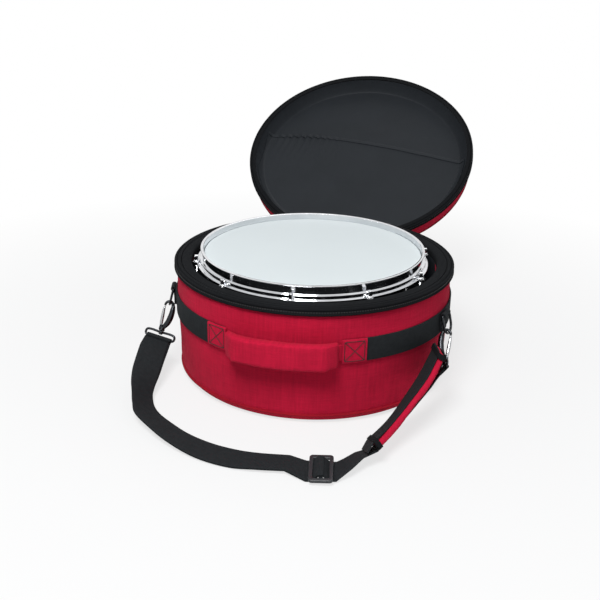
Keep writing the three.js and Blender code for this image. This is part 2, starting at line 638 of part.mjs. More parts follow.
// A flat wire loop for the webbing, hung on the hook's stem by a drilled plate.
function strapLoop() {
  const half = LOOP_WIDTH / 2;
  const drop = LOOP_HEIGHT;
  const route = [
    [-half + 3, 0], [half - 3, 0], [half - 0.8, -1.2], [half, -3.4], [half, -drop + 3.4], [half - 0.8, -drop + 1.2],
    [half - 3, -drop], [-half + 3, -drop], [-half + 0.8, -drop + 1.2], [-half, -drop + 3.4], [-half, -3.4], [-half + 0.8, -1.2],
  ].map(([x, z]) => vec(x, 0, z));
  const plate = post(5.6, -PLATE, PLATE);
  return cut(join(wire(route, LOOP_WIRE, true, 8, HOOK_AXIS_Y), plate), post(2 + GAP, -PLATE - 1, PLATE + 1));
}

function buildHooks() {
  for (const [side, name] of SIDE_NAMES) {
    const place = (mesh, matrix) => mesh.applyMatrix4(matrix);
    place(add(part, `snap_hook_${name}`, GUNMETAL, snapHook()), hookFrame(side, name));
    place(add(part, `hook_gate_${name}`, CHROME, hookGate()), hookFrame(side, name));
    place(add(part, `strap_loop_${name}`, GUNMETAL, strapLoop()), hookFrame(side, name, HOOKS[name].bar));
  }
}

// ---------------------------------------------------------------- shoulder strap

// The middle of the loop's lower bar, where the webbing is folded round it.
function loopBar(side, name) {
  const frame = hookFrame(side, name, HOOKS[name].bar);
  return { centre: vec(0, 0, -LOOP_HEIGHT).applyMatrix4(frame), axis: vec(1, 0, 0).transformDirection(frame) };
}

// Chosen by hand: the middle of the webbing, and the way across it towards the strap's outer edge.
// Left of the slider the webbing is double.
const LEFT_RUN = [
  [[-241, -117, 46], [-0.94, -0.2, 0.24]], [[-239, -140, 38], [-0.93, -0.32, 0.18]],
  [[-236.5, -160, 32], [-0.9, -0.38, 0.2]], [[-232.5, -181, 28], [-0.78, -0.54, 0.32]],
  [[-228, -203, 23], [-0.6, -0.68, 0.42]], [[-221, -225, 17.5], [-0.45, -0.75, 0.48]],
  [[-212, -245, 13.2], [-0.46, -0.76, 0.46]], [[-199, -265, 10.7], [-0.58, -0.72, 0.37]],
  [[-166, -293, 8.7], [-0.56, -0.77, 0.29]], [[-129, -318, 6.5], [-0.45, -0.86, 0.19]],
  [[-84, -337, 3.6], [-0.28, -0.96, 0.05]], [[-37, -346, 2.8], [-0.09, -0.99, 0.01]],
  [[-4, -346, 4], [0.04, -0.99, 0.07]], [[38, -341, 4.5], [0.05, -0.99, 0.09]],
];
const SLIDER_CENTRE = [88, -350, 8.6];
const SLIDER_ALONG = vec(0.98, 0.17, 0.02).normalize();
const SLIDER_ACROSS = vec(0.18, -0.98, -0.07);
// From the slider to the pad's lower end, and from under the pad to the right loop.
const TO_PAD = [[[121, -329, 8.5], [0.42, -0.87, 0.24]], [[134, -309, 12.5], [0.4, -0.84, 0.37]]];
const FROM_PAD = [
  [[213, -160, 56], [0.27, -0.85, 0.42]], [[219, -140, 57], [0.25, -0.8, 0.5]],
  [[225, -124, 57], [0.22, -0.77, 0.58]], [[229.5, -113, 58], [0.21, -0.76, 0.61]],
];
const SLIDER_WAVE = [[-21, -4.3], [-12.6, -4.3], [-3.6, 4.2], [3.6, 4.2], [12.6, -4.3], [21, -4.3]];

function sliderFrame() {
  const across = SLIDER_ACROSS.clone().addScaledVector(SLIDER_ALONG, -SLIDER_ACROSS.dot(SLIDER_ALONG)).normalize();
  const up = across.clone().cross(SLIDER_ALONG).negate();
  if (up.z < 0) up.negate();
  return { along: SLIDER_ALONG, across, up, centre: moved(SLIDER_CENTRE) };
}

// The places were chosen beside a wall of this radius, with the two loops' bars at these points.
const CHOSEN_WALL = 226;
const CHOSEN_BARS = { left: vec(-241.816, -94.643, 53.907), right: vec(231.184, -107.458, 60.91) };

// Moves a chosen place out with the wall, or with a loop, by how near it is to that loop.
function moved(centre, near = 0, side = 0, name = '') {
  const place = vec(...centre);
  const out = place.clone().setZ(0).setLength(WALL_RADIUS - CHOSEN_WALL);
  if (near === 0) return place.add(out);
  return place.add(out.lerp(loopBar(side, name).centre.sub(CHOSEN_BARS[name]), near));
}

// Smooth places through hand-chosen ones, each with its centre and the way across.
function run(places, steps, near = () => 0, side = 0, name = '') {
  const smooth = (points) => new THREE.CatmullRomCurve3(points, false, 'centripetal');
  const centres = smooth(places.map(([centre], i) => moved(centre, near(i), side, name)));
  const ways = smooth(places.map(([, way]) => vec(...way)));
  return Array.from({ length: steps + 1 }, (_, i) => ({
    centre: centres.getPoint(i / steps), across: ways.getPoint(i / steps).normalize(),
  }));
}

// The direction of a row of places at one of them.
function heading(places, i) {
  const [before, after] = [places[Math.max(i - 1, 0)], places[Math.min(i + 1, places.length - 1)]];
  return after.centre.clone().sub(before.centre).normalize();
}

// Webbing along places that each give its centre, the way across and a thickness.
function strip(places) {
  return loft(places.map(({ centre, across, thickness }, i) => {
    const wide = across.clone().normalize();
    const normal = wide.clone().cross(heading(places, i)).normalize();
    const corner = (side, level) => centre.clone()
      .addScaledVector(wide, (side * STRAP_WIDTH) / 2).addScaledVector(normal, (level * thickness) / 2);
    return [corner(-1, -1), corner(1, -1), corner(1, 1), corner(-1, 1)];
  }));
}

// The pad's inner face follows these places; the padding lies on the outer side of it.
const PAD_RUN = [
  [[146, -288, 22], [0.3, -0.85, 0.42]], [[168, -243, 33], [0.25, -0.88, 0.4]],
  [[189, -203, 55], [0.27, -0.89, 0.36]], [[205.5, -170, 75], [0.3, -0.9, 0.3]],
  [[215.5, -143, 93], [0.26, -0.93, 0.22]], [[221, -124, 105], [0.22, -0.95, 0.16]],
];

function padPlaces() {
  const places = run(PAD_RUN, 12);
  return places.map(({ centre, across }, i) => {
    const outward = across.clone().cross(heading(places, i)).normalize();
    return { centre, across, outward: outward.x < 0 ? outward.negate() : outward };
  });
}

function shoulderPad() {
  const places = padPlaces();
  return loft(places.map(({ centre, across, outward }, i) => {
    const w = PAD_WIDTH / 2 - (i === 0 || i === places.length - 1 ? 4 : 0);
    const t = PAD_THICKNESS;
    return [[-w + 2, 0], [-w, 3], [-w, t - 3], [-w + 3, t], [w - 3, t], [w, t - 3], [w, 3], [w - 2, 0]]
      .map(([a, b]) => centre.clone().addScaledVector(across, a).addScaledVector(outward, b));
  }));
}

function strapWebbing() {
  const { along, across, up, centre } = sliderFrame();
  const fromLeft = (i) => Math.max(0, 1 - i / 5);
  const toRight = (i) => i / (FROM_PAD.length - 1);
  const wave = SLIDER_WAVE.map(([t, n], i) => ({
    centre: centre.clone().addScaledVector(along, t).addScaledVector(up, n), across, thickness: i < 4 ? 2 * PLY : PLY,
  }));
  const eye = (side, name) => {
    const { centre: middle, axis } = loopBar(side, name);
    const roll = new THREE.Quaternion().setFromUnitVectors(vec(0, 0, 1), axis);
    const tube = (radius, length) => cylinder(radius, length).applyQuaternion(roll).translate(...middle);
    return { body: tube(LOOP_WIRE + 0.5 + PLY, STRAP_WIDTH), bore: tube(LOOP_WIRE + 0.5, STRAP_WIDTH + 2), middle, axis };
  };
  const [left, right] = [eye(-1, 'left'), eye(1, 'right')];
  const tail = ({ middle, axis }, name, thickness) => ({
    centre: middle.clone().addScaledVector(HOOKS[name].down, 3.4), across: axis, thickness,
  });
  const ply = (thickness) => (place) => ({ ...place, thickness });
  const underPad = padPlaces().slice(0, 6).map((place) => ({
    ...place, centre: place.centre.clone().addScaledVector(place.outward, PAD_THICKNESS + 2 * GAP + PLY / 2),
    thickness: PLY,
  }));
  const places = [
    tail(left, 'left', 2 * PLY), ...run(LEFT_RUN, 26, fromLeft, -1, 'left').map(ply(2 * PLY)), ...wave,
    ...run(TO_PAD, 2).map(ply(PLY)), ...underPad, ...run(FROM_PAD, 8, toRight, 1, 'right').map(ply(PLY)), tail(right, 'right', PLY),
  ];
  return cut(join(strip(places), left.body, right.body), left.bore, right.bore);
}

// A frame with a bar across its middle; the webbing goes over the bar and under both ends.
function strapSlider() {
  const [half, wide, thick] = [SLIDER_LENGTH / 2, SLIDER_WIDTH / 2, SLIDER_THICKNESS / 2];
  const slot = (from, to) => box([from, -STRAP_WIDTH / 2 - 1.5, -thick - 1], [to, STRAP_WIDTH / 2 + 1.5, thick + 1]);
  const plate = new THREE.Shape();
  const r = 5;
  plate.moveTo(-half + r, -wide).lineTo(half - r, -wide).lineTo(half, -wide + r).lineTo(half, wide - r);
  plate.lineTo(half - r, wide).lineTo(-half + r, wide).lineTo(-half, wide - r).lineTo(-half, -wide + r);
  const body = new THREE.ExtrudeGeometry(plate, { depth: SLIDER_THICKNESS, bevelEnabled: false }).translate(0, 0, -thick);
  return cut(body, slot(-half + 4, -3), slot(3, half - 4));
}

function buildStrap() {
  add(part, 'strap_webbing', WEBBING, strapWebbing());
  add(part, 'shoulder_pad', RED_CLOTH, shoulderPad());
  const { along, across, up, centre } = sliderFrame();
  const slider = add(part, 'strap_slider', MOULDED, strapSlider());
  const right = along.clone().cross(across).dot(up) > 0 ? across : across.clone().negate();
  slider.applyMatrix4(new THREE.Matrix4().makeBasis(along, right, up).setPosition(centre));
}

buildDrum();
buildBag();
buildLid();
add(part, 'lid_hinge_web', BLACK_CLOTH, hingeWeb());
buildHooks();
buildStrap();

export default part;
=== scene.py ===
# %% [markdown]
# # A tom tom in its padded carry bag
# A 14 inch tom lies in a round padded bag. The bag stands open, with its lid turned back and its
# shoulder strap on the floor in front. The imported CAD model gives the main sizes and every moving
# body. Here each piece gets the shape and finish that an eye sees: rolled steel, woven cloth, webbing.

# %% Load the frame
import json
import math

import bpy
import numpy as np
from mathutils import Matrix, Vector, noise


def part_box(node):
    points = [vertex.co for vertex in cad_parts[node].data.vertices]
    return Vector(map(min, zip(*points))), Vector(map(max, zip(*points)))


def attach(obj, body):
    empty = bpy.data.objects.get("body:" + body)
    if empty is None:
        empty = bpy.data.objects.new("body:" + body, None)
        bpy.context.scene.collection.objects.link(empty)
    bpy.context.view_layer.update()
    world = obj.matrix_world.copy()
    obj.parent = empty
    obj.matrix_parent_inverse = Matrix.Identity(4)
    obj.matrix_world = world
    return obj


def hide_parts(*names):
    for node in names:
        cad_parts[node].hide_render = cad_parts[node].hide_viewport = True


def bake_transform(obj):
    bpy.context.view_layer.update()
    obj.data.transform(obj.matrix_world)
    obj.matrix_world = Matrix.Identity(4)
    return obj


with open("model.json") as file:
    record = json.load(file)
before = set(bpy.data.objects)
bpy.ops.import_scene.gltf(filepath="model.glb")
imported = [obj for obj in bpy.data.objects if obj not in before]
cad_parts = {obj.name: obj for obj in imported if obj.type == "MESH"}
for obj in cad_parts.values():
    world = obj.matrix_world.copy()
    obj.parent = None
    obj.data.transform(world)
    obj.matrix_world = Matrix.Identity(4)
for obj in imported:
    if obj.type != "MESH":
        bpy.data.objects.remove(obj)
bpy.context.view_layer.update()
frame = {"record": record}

# %% [markdown]
# ## Values that many pieces share
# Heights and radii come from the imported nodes, so that a piece lies where its solid does. The bag
# is turned about the Z axis, and the drum about an axis of its own, a little off the middle.

# %% Shared sizes, in metres
rim_width, belt_width, webbing_width = 0.0285, 0.037, 0.044
rim_low, rim_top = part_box("rim_band")[0][2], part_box("rim_band")[1][2]
rim_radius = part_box("rim_band")[1][0]
cavity_radius = rim_radius - rim_width
wall_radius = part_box("bag_shell")[1][0]
wall_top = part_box("bag_shell")[1][2]
belt_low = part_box("side_belt")[0][2]
belt_high = belt_low + belt_width
belt_middle = (belt_low + belt_high) / 2
drum_low, drum_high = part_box("resonant_hoop")[0][2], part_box("batter_hoop")[1][2]
drum_middle = (drum_low + drum_high) / 2
drum_axis = Vector((-0.003, 0.0005, 0.0))
hoop_above_head = 0.010
head_face = (drum_high - drum_middle) - hoop_above_head
lug_count, first_lug = 10, 20.5
lug_angles = [math.radians(first_lug + 360 / lug_count * k) for k in range(lug_count)]
rod_circle = 0.191
print("rim", round(rim_radius, 4), round(rim_top, 4), "wall", round(wall_radius, 4),
    "drum", round(drum_low, 4), round(drum_high, 4))

# %% [markdown]
# ## The camera, the floor and the light
# The camera stands in front of the bag, a little to the right and above it. Big soft lamps and a
# pale world light the bag evenly, as in a product picture, and the floor keeps a faint shadow. The
# camera, metal and glass see the world as white, and the rest of the light is weaker than that.

# %% Camera
bpy.ops.object.camera_add(location=(0.2897, -1.4131, 0.7006))
camera = bpy.context.object
right, up = Vector((0.975, 0.2219, 0.015)), Vector((-0.0977, 0.3665, 0.9253))
forward = Vector((-0.1998, 0.9036, -0.379))
turn = Matrix((right, up, -forward)).transposed()
camera.matrix_world = Matrix.Translation(camera.location) @ turn.to_quaternion().to_matrix().to_4x4()
camera.data.sensor_width = 36
camera.data.lens = 55.38
bpy.context.scene.camera = camera
bpy.context.scene.view_settings.view_transform = "Standard"

# %% World and lamps
def seen_rays(nodes, links):
    """Says 1 for the rays of the camera, of glass and of mirrors, and 0 for the light itself."""
    path = nodes.new("ShaderNodeLightPath")
    rays = path.outputs["Is Camera Ray"]
    for other in ("Is Transmission Ray", "Is Glossy Ray"):
        either_ray = nodes.new("ShaderNodeMath")
        either_ray.operation = "MAXIMUM"
        links.new(rays, either_ray.inputs[0])
        links.new(path.outputs[other], either_ray.inputs[1])
        rays = either_ray.outputs[0]
    return rays


world = bpy.data.worlds.new("studio")
bpy.context.scene.world = world
world.use_nodes = True
nodes, links = world.node_tree.nodes, world.node_tree.links
nodes.clear()
shown = seen_rays(nodes, links)
plain, white = nodes.new("ShaderNodeBackground"), nodes.new("ShaderNodeBackground")
either = nodes.new("ShaderNodeMixShader")
plain.inputs["Color"].default_value = (0.93, 0.96, 1.0, 1)
plain.inputs["Strength"].default_value = 0.24
white.inputs["Color"].default_value = (1, 1, 1, 1)
links.new(shown, either.inputs["Fac"])
links.new(plain.outputs[0], either.inputs[1])
links.new(white.outputs[0], either.inputs[2])
links.new(either.outputs[0], nodes.new("ShaderNodeOutputWorld").inputs["Surface"])


def lamp(name, place, size, power):
    """A square soft lamp that points at the bag."""
    bpy.ops.object.light_add(type="AREA", location=place)
    made = bpy.context.object
    made.name = name
    made.data.size, made.data.energy = size, power
    made.rotation_euler = (Vector((0, 0, 0.15)) - Vector(place)).to_track_quat("-Z", "Y").to_euler()
    return made


lamp("key_lamp", (-0.15, -1.4, 2.1), 0.9, 56)
lamp("fill_lamp", (1.7, -1.1, 1.2), 1.5, 3)
lamp("back_lamp", (0.3, 1.7, 1.9), 1.3, 11)

# %% [markdown]
# ## Writing a finish as sums
# A finish is a network of nodes. Written out node by node it is long, so a small class wraps a
# socket: adding or multiplying two of them adds the Math node that does it.

# %% A socket that can be calculated with
class Level:
    """A node's output that Python's operators work on, each by adding a Math node."""

    def __init__(self, finish, socket):
        self.finish, self.socket = finish, socket

    def math(self, operation, *others):
        inputs = {i: value for i, value in enumerate((self,) + others)}
        return self.finish.node("Math", {"operation": operation}, inputs)

    def __add__(self, other):
        return self.math("ADD", other)

    def __sub__(self, other):
        return self.math("SUBTRACT", other)

    def __mul__(self, other):
        return self.math("MULTIPLY", other)

    def __rsub__(self, other):
        return self.finish.node("Math", {"operation": "SUBTRACT"}, {0: other, 1: self})

    __radd__, __rmul__ = __add__, __mul__

    def wave(self, pitch):
        """Rises and falls between 0 and 1, once for each pitch."""
        return (self * (2 * math.pi / pitch)).math("SINE") * 0.5 + 0.5

    def above(self, low, high):
        """0 below low, 1 above high."""
        return self.finish.node("MapRange", {"clamp": True},
            {"Value": self, "From Min": low, "From Max": high})


class Finish:
    """A material whose nodes are added one at a time."""

    def __init__(self, name, **sockets):
        self.material = bpy.data.materials.new(name)
        self.material.use_nodes = True
        self.tree = self.material.node_tree
        self.shader = self.tree.nodes["Principled BSDF"]
        for socket, value in sockets.items():
            self.shader.inputs[socket.replace("_", " ").title().replace("Ior", "IOR")].default_value = value

    def node(self, kind, settings=None, inputs=None, output=0):
        made = self.tree.nodes.new("ShaderNode" + kind)
        for name, value in (settings or {}).items():
            setattr(made, name, value)
        for name, value in (inputs or {}).items():
            if isinstance(value, Level):
                self.tree.links.new(value.socket, made.inputs[name])
            else:
                made.inputs[name].default_value = value
        return Level(self, made.outputs[output])

    def place(self):
        return self.node("TexCoord", output="Object")

    def cloth_place(self):
        """How far along and across the cloth, in metres, from the piece's own UV map."""
        uv = self.node("UVMap", {"uv_map": "cloth"})
        split = self.node("SeparateXYZ", None, {0: uv})
        return split, Level(self, split.socket.node.outputs[1])

    def cloud(self, scale, detail=2, where=None, stretch=(1, 1, 1)):
        """A soft random level between 0 and 1."""
        where = where or self.place()
        where = self.node("Mapping", None, {"Vector": where, "Scale": stretch})
        return self.node("TexNoise", None, {"Vector": where, "Scale": scale, "Detail": detail})

    def blend(self, factor, low, high):
        return self.node("Mix", {"data_type": "RGBA"}, {0: factor, 6: low, 7: high}, output=2)

    def set(self, name, level):
        self.tree.links.new(level.socket, self.shader.inputs[name])

    def raise_by(self, level, height, strength=1.0):
        self.set("Normal", self.node("Bump", None,
            {"Height": level, "Distance": height, "Strength": strength}))


# %% [markdown]
# ## Cloth
# The outside is a plain weave of thick polyester yarn, about two threads to the millimetre. Each
# thread is a little lighter or darker than the next, which shows as fine streaks. The lining is a
# thin smooth cloth with a twill's slant, and the webbing has ribs across it.

# %% Woven cloth
def woven(name, colour, pitch, depth, roughness, sheen, streak=0.16):
    """A plain weave: threads go over and under by turns, and vary in shade."""
    f = Finish(name, roughness=roughness, sheen_weight=sheen, sheen_roughness=0.5, specular_ior_level=0.06)
    along, across = f.cloth_place()
    over, under = along.wave(pitch), across.wave(pitch)
    weave = over * under + (1 - over) * (1 - under)
    uv = f.node("UVMap", {"uv_map": "cloth"})
    warp = f.cloud(900, 1, uv, (1, 0.06, 1))
    weft = f.cloud(900, 1, uv, (0.06, 1, 1))
    slub = f.cloud(260, 2, uv, (1, 0.05, 1)) + f.cloud(300, 2, uv, (0.07, 1, 1)) * 0.5
    shade = (warp + weft) * streak + slub * 0.22 + f.cloud(9, 3) * 0.2 + weave * 0.1
    dark = [channel * 0.62 for channel in colour] + [1]
    light = [min(1, channel * 1.30) for channel in colour] + [1]
    f.set("Base Color", f.blend(shade.above(0.30, 0.68), dark, light))
    f.set("Roughness", weave * 0.08 + (roughness - 0.04))
    f.raise_by(weave + f.cloud(500, 2) * 0.5, depth, 0.6)
    return f.material


red_cloth = woven("red_cloth", (0.51, 0.0095, 0.040), 0.0011, 0.00030, 0.86, 0.02)
dark_red_cloth = woven("dark_red_piping", (0.30, 0.006, 0.018), 0.0011, 0.00018, 0.78, 0.04)
black_cloth = woven("black_cloth", (0.0085, 0.0092, 0.0104), 0.0011, 0.00022, 0.94, 0.0)


# %% Lining and webbing
def lining_finish():
    f = Finish("lining_cloth", roughness=0.56, sheen_weight=0.0, specular_ior_level=0.12)
    along, across = f.cloth_place()
    twill = (along + across).wave(0.0009)
    cloudy = f.cloud(14, 3)
    f.set("Base Color", f.blend(cloudy * 0.8 + twill * 0.2, (0.0095, 0.0114, 0.0140, 1),
        (0.0180, 0.0210, 0.0250, 1)))
    f.set("Roughness", cloudy * 0.14 + 0.48)
    f.raise_by(twill * 0.5 + f.cloud(260, 2), 0.00012, 0.5)
    return f.material


def webbing_finish():
    f = Finish("webbing", roughness=0.80, sheen_weight=0.0, specular_ior_level=0.06)
    along, across = f.cloth_place()
    ribs = along.wave(0.0019)
    threads = (across + ribs * 0.0003).wave(0.0021)
    f.set("Base Color", f.blend(ribs * 0.6 + f.cloud(160, 2) * 0.5, (0.0080, 0.0092, 0.0104, 1),
        (0.0270, 0.0300, 0.0325, 1)))
    f.set("Roughness", threads * 0.12 + 0.72)
    f.raise_by(ribs * 0.8 + threads * 0.4, 0.0004, 0.8)
    return f.material


lining_cloth, webbing = lining_finish(), webbing_finish()

# %% [markdown]
# ## Metal, film and moulding
# Chrome is a mirror with a few faint smudges. The hooks are nickelled black, and their gates are
# bright steel. The head is a film with a sprayed coat, so it is pale, matt and finely grained.

# %% Hard finishes
def metal(name, colour, roughness, smudge):
    f = Finish(name, metallic=1.0, roughness=roughness)
    cloudy = f.cloud(60, 4)
    f.set("Base Color", f.blend(cloudy, [c * 0.86 for c in colour] + [1], list(colour) + [1]))
    f.set("Roughness", cloudy.above(0.35, 0.8) * smudge + roughness)
    f.raise_by(f.cloud(700, 2), 0.00002, 0.3)
    return f.material


chrome = metal("chrome", (0.78, 0.79, 0.81), 0.06, 0.14)
gunmetal = metal("black_nickel", (0.034, 0.036, 0.040), 0.20, 0.2)
bright_steel = metal("bright_steel", (0.40, 0.41, 0.42), 0.20, 0.16)


def coated_film():
    f = Finish("coated_film", roughness=0.52, specular_ior_level=0.3)
    grain, broad = f.cloud(1500, 3), f.cloud(5, 3)
    f.set("Base Color", f.blend(broad * 0.6 + grain * 0.4, (0.55, 0.600, 0.612, 1),
        (0.65, 0.700, 0.712, 1)))
    f.set("Roughness", grain * 0.2 + 0.42)
    f.raise_by(grain, 0.00010, 0.5)
    return f.material


def plain_finish(name, colour, roughness, grain_size, depth, coat=0.0):
    f = Finish(name, roughness=roughness, coat_weight=coat, coat_roughness=0.08)
    cloudy = f.cloud(30, 3)
    f.set("Base Color", f.blend(cloudy, [c * 0.8 for c in colour] + [1], [c * 1.25 for c in colour] + [1]))
    f.set("Roughness", cloudy * 0.12 + (roughness - 0.06))
    f.raise_by(f.cloud(grain_size, 2), depth, 0.4)
    return f.material


drumhead_film = coated_film()
lacquer = plain_finish("black_lacquer", (0.008, 0.008, 0.010), 0.25, 90, 0.00005, 0.8)
moulding = plain_finish("black_moulding", (0.014, 0.016, 0.019), 0.46, 1400, 0.00005)
thread_red = plain_finish("dark_red_thread", (0.035, 0.004, 0.007), 0.7, 2500, 0.0001)
zip_teeth_finish = plain_finish("zip_teeth", (0.010, 0.0105, 0.0115), 0.6, 1600, 0.00004)
print("finishes", len(bpy.data.materials))

# %% [markdown]
# ## Tools of the trade
# Most of a drum and of a round bag is turned, so one helper draws a profile by extruding a point
# and spins it. Others soften a profile's corners, bend a wire, lay a strip, and end a piece by
# shading it, laying its cloth and saying which body it rides on.

# %% Selecting and ending a piece
def deselect():
    if bpy.context.object and bpy.context.object.mode != "OBJECT":
        bpy.ops.object.mode_set(mode="OBJECT")
    bpy.ops.object.select_all(action="DESELECT")


def only(piece):
    deselect()
    piece.select_set(True)
    bpy.context.view_layer.objects.active = piece
    return piece


def named(name):
    piece = bpy.context.object
    piece.name = piece.data.name = name
    return piece


def applied(piece):
    only(piece)
    for modifier in list(piece.modifiers):
        bpy.ops.object.modifier_apply(modifier=modifier.name)
    return piece


def modified(piece, kind, **settings):
    """Gives a piece one modifier with its settings, and applies it."""
    made = piece.modifiers.new(kind.lower(), kind)
    for name, value in settings.items():
        setattr(made, name, value)
    return applied(piece)


def edited(operator, **settings):
    """Runs one edit mode operator on the whole of the active piece."""
    bpy.ops.object.mode_set(mode="EDIT")
    bpy.ops.mesh.select_all(action="SELECT")
    operator(**settings)
    bpy.ops.object.mode_set(mode="OBJECT")


def finished(piece, body, finish, nodes=(), smooth=38, undo=None):
    """Applies what is left, shades, lays the cloth's UV map and lets the piece ride on its body. A piece
    given a tuple of bodies is only baked in place.
    """
    applied(piece)
    bpy.ops.object.transform_apply(location=True, rotation=True, scale=True)
    bpy.ops.object.shade_smooth_by_angle(angle=math.radians(smooth))
    piece.data.materials.clear()
    piece.data.materials.append(finish)
    if "cloth" not in piece.data.uv_layers:
        lay_cloth(piece, undo or Matrix())
    if isinstance(body, tuple):
        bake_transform(piece)
    else:
        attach(piece, body)
    if nodes:
        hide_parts(*nodes)
    print(piece.name, len(piece.data.polygons), "faces")
    return piece


def lay_cloth(piece, undo):
    """Rolls the cloth out: round the Z axis where it stands, and flat where it lies."""
    mesh = piece.data
    while mesh.uv_layers:
        mesh.uv_layers.remove(mesh.uv_layers[0])
    layer = mesh.uv_layers.new(name="cloth")
    points = [undo @ vertex.co for vertex in mesh.vertices]
    for face in mesh.polygons:
        normal = undo.to_3x3() @ face.normal
        middle = sum((points[v] for v in face.vertices), Vector()) / len(face.vertices)
        heading = math.atan2(middle.y, middle.x)
        for loop in face.loop_indices:
            p = points[mesh.loops[loop].vertex_index]
            if abs(normal.z) > 0.7:
                layer.data[loop].uv = (p.x, p.y)
            else:
                off = (math.atan2(p.y, p.x) - heading + math.pi) % (2 * math.pi) - math.pi
                layer.data[loop].uv = ((heading + off) * wall_radius, p.z)


# %% Turning a profile
def eased(profile, ease, closed=False, steps=3):
    """Rounds every corner of a profile, as far as its sides allow."""
    points = [Vector((r, z)) for r, z in profile]
    result = []
    for i, corner in enumerate(points):
        if not closed and i in (0, len(points) - 1):
            result.append(corner)
            continue
        before, after = points[i - 1], points[(i + 1) % len(points)]
        reach = min(ease, (before - corner).length * 0.45, (after - corner).length * 0.45)
        a = corner + (before - corner).normalized() * reach
        b = corner + (after - corner).normalized() * reach
        for k in range(steps + 1):
            t = k / steps
            result.append(a * (1 - t) ** 2 + corner * 2 * t * (1 - t) + b * t * t)
    return [(p.x, p.y) for p in result]


def spun(name, profile, steps=144, closed=False, axis_at=(0, 0, 0), arc=360, start=0):
    """Extrudes one vertex along a profile of (radius, height), then spins it about Z."""
    deselect()
    bpy.ops.mesh.primitive_plane_add(size=0.001, location=(0, 0, 0))
    piece = named(name)
    bpy.ops.object.mode_set(mode="EDIT")
    bpy.ops.mesh.select_mode(type="VERT")
    bpy.ops.mesh.select_all(action="SELECT")
    bpy.ops.mesh.merge(type="CENTER")
    c, s = math.cos(math.radians(start)), math.sin(math.radians(start))
    place = lambda r, z: Vector((axis_at[0] + r * c, axis_at[1] + r * s, z))
    route = [place(*p) for p in profile] + ([place(*profile[0])] if closed else [])
    bpy.ops.transform.translate(value=route[0])
    for a, b in zip(route, route[1:]):
        bpy.ops.mesh.extrude_region_move(TRANSFORM_OT_translate={"value": b - a})
    bpy.ops.mesh.select_all(action="SELECT")
    bpy.ops.mesh.remove_doubles(threshold=1e-6)
    bpy.ops.mesh.select_all(action="SELECT")
    bpy.ops.mesh.spin(steps=steps, angle=-math.radians(arc), center=axis_at, axis=(0, 0, 1))
    bpy.ops.mesh.select_all(action="SELECT")
    bpy.ops.mesh.remove_doubles(threshold=1e-6)
    if arc < 360 and closed:
        bpy.ops.mesh.select_all(action="DESELECT")
        bpy.ops.mesh.select_non_manifold(extend=False)
        bpy.ops.mesh.fill()
    bpy.ops.mesh.select_all(action="SELECT")
    bpy.ops.mesh.normals_make_consistent(inside=False)
    bpy.ops.object.mode_set(mode="OBJECT")
    return piece


def turned(name, ease, profile, steps=32, closed=True, **where):
    """Softens a profile's corners, then spins it."""
    return spun(name, eased(profile, ease, closed), steps, closed, **where)


# %% Moving vertices, copying and joining
def reshape(piece, move):
    """Moves every vertex to where move(point) says."""
    for vertex in piece.data.vertices:
        vertex.co = move(vertex.co.copy())
    piece.data.update()
    return piece


def placed(piece, matrix):
    piece.data.transform(matrix)
    piece.data.update()
    return piece


def copied(piece, name, matrix=Matrix()):
    """A copy with a mesh of its own, moved by a matrix."""
    copy = piece.copy()
    copy.data = piece.data.copy()
    copy.name = copy.data.name = name
    bpy.context.collection.objects.link(copy)
    return placed(copy, matrix)


def joined(pieces, name):
    only(pieces[0])
    for piece in pieces[1:]:
        piece.select_set(True)
    if len(pieces) > 1:
        bpy.ops.object.join()
    return named(name)


def cube(name, low, high, bevel=0.0, segments=2):
    """A box between two corners, with its edges bevelled."""
    deselect()
    low, high = Vector(low), Vector(high)
    bpy.ops.mesh.primitive_cube_add(size=1, location=(low + high) / 2)
    piece = named(name)
    piece.scale = high - low
    bpy.ops.object.transform_apply(location=True, rotation=True, scale=True)
    if bevel:
        edited(bpy.ops.mesh.bevel, offset=bevel, segments=segments, affect="EDGES")
    return piece


def rod(name, radius, low, high, bevel, sides):
    """An upright round bar between two heights, with its rims bevelled."""
    ends = eased([(0, low), (radius, low), (radius, high), (0, high)], bevel, steps=2)
    return spun(name, ends, sides)


# %% Wires and strips
def wire(name, points, radius, closed=False, smooth=True, sides=5):
    """A round wire: a curve through the points with a bevel, made a mesh."""
    data = bpy.data.curves.new(name, "CURVE")
    data.dimensions, data.fill_mode = "3D", "FULL"
    spline = data.splines.new("BEZIER" if smooth else "POLY")
    if smooth:
        spline.bezier_points.add(len(points) - 1)
        for i, (knot, point) in enumerate(zip(spline.bezier_points, points)):
            knot.co = point
            knot.handle_left_type = knot.handle_right_type = "AUTO"
            knot.radius = 1 if isinstance(radius, float) else radius[i]
    else:
        spline.points.add(len(points) - 1)
        for i, (knot, point) in enumerate(zip(spline.points, points)):
            knot.co = (*point, 1)
            knot.radius = 1 if isinstance(radius, float) else radius[i]
    spline.use_cyclic_u = closed
    data.resolution_u, data.bevel_resolution = 6, sides
    data.bevel_depth = radius if isinstance(radius, float) else 1.0
    data.use_fill_caps = True
    piece = bpy.data.objects.new(name, data)
    bpy.context.collection.objects.link(piece)
    only(piece)
    bpy.ops.object.convert(target="MESH")
    piece = bpy.context.object
    piece.name = piece.data.name = name
    edited(bpy.ops.mesh.remove_doubles, threshold=1e-6)
    edited(bpy.ops.mesh.normals_make_consistent, inside=False)
    return piece


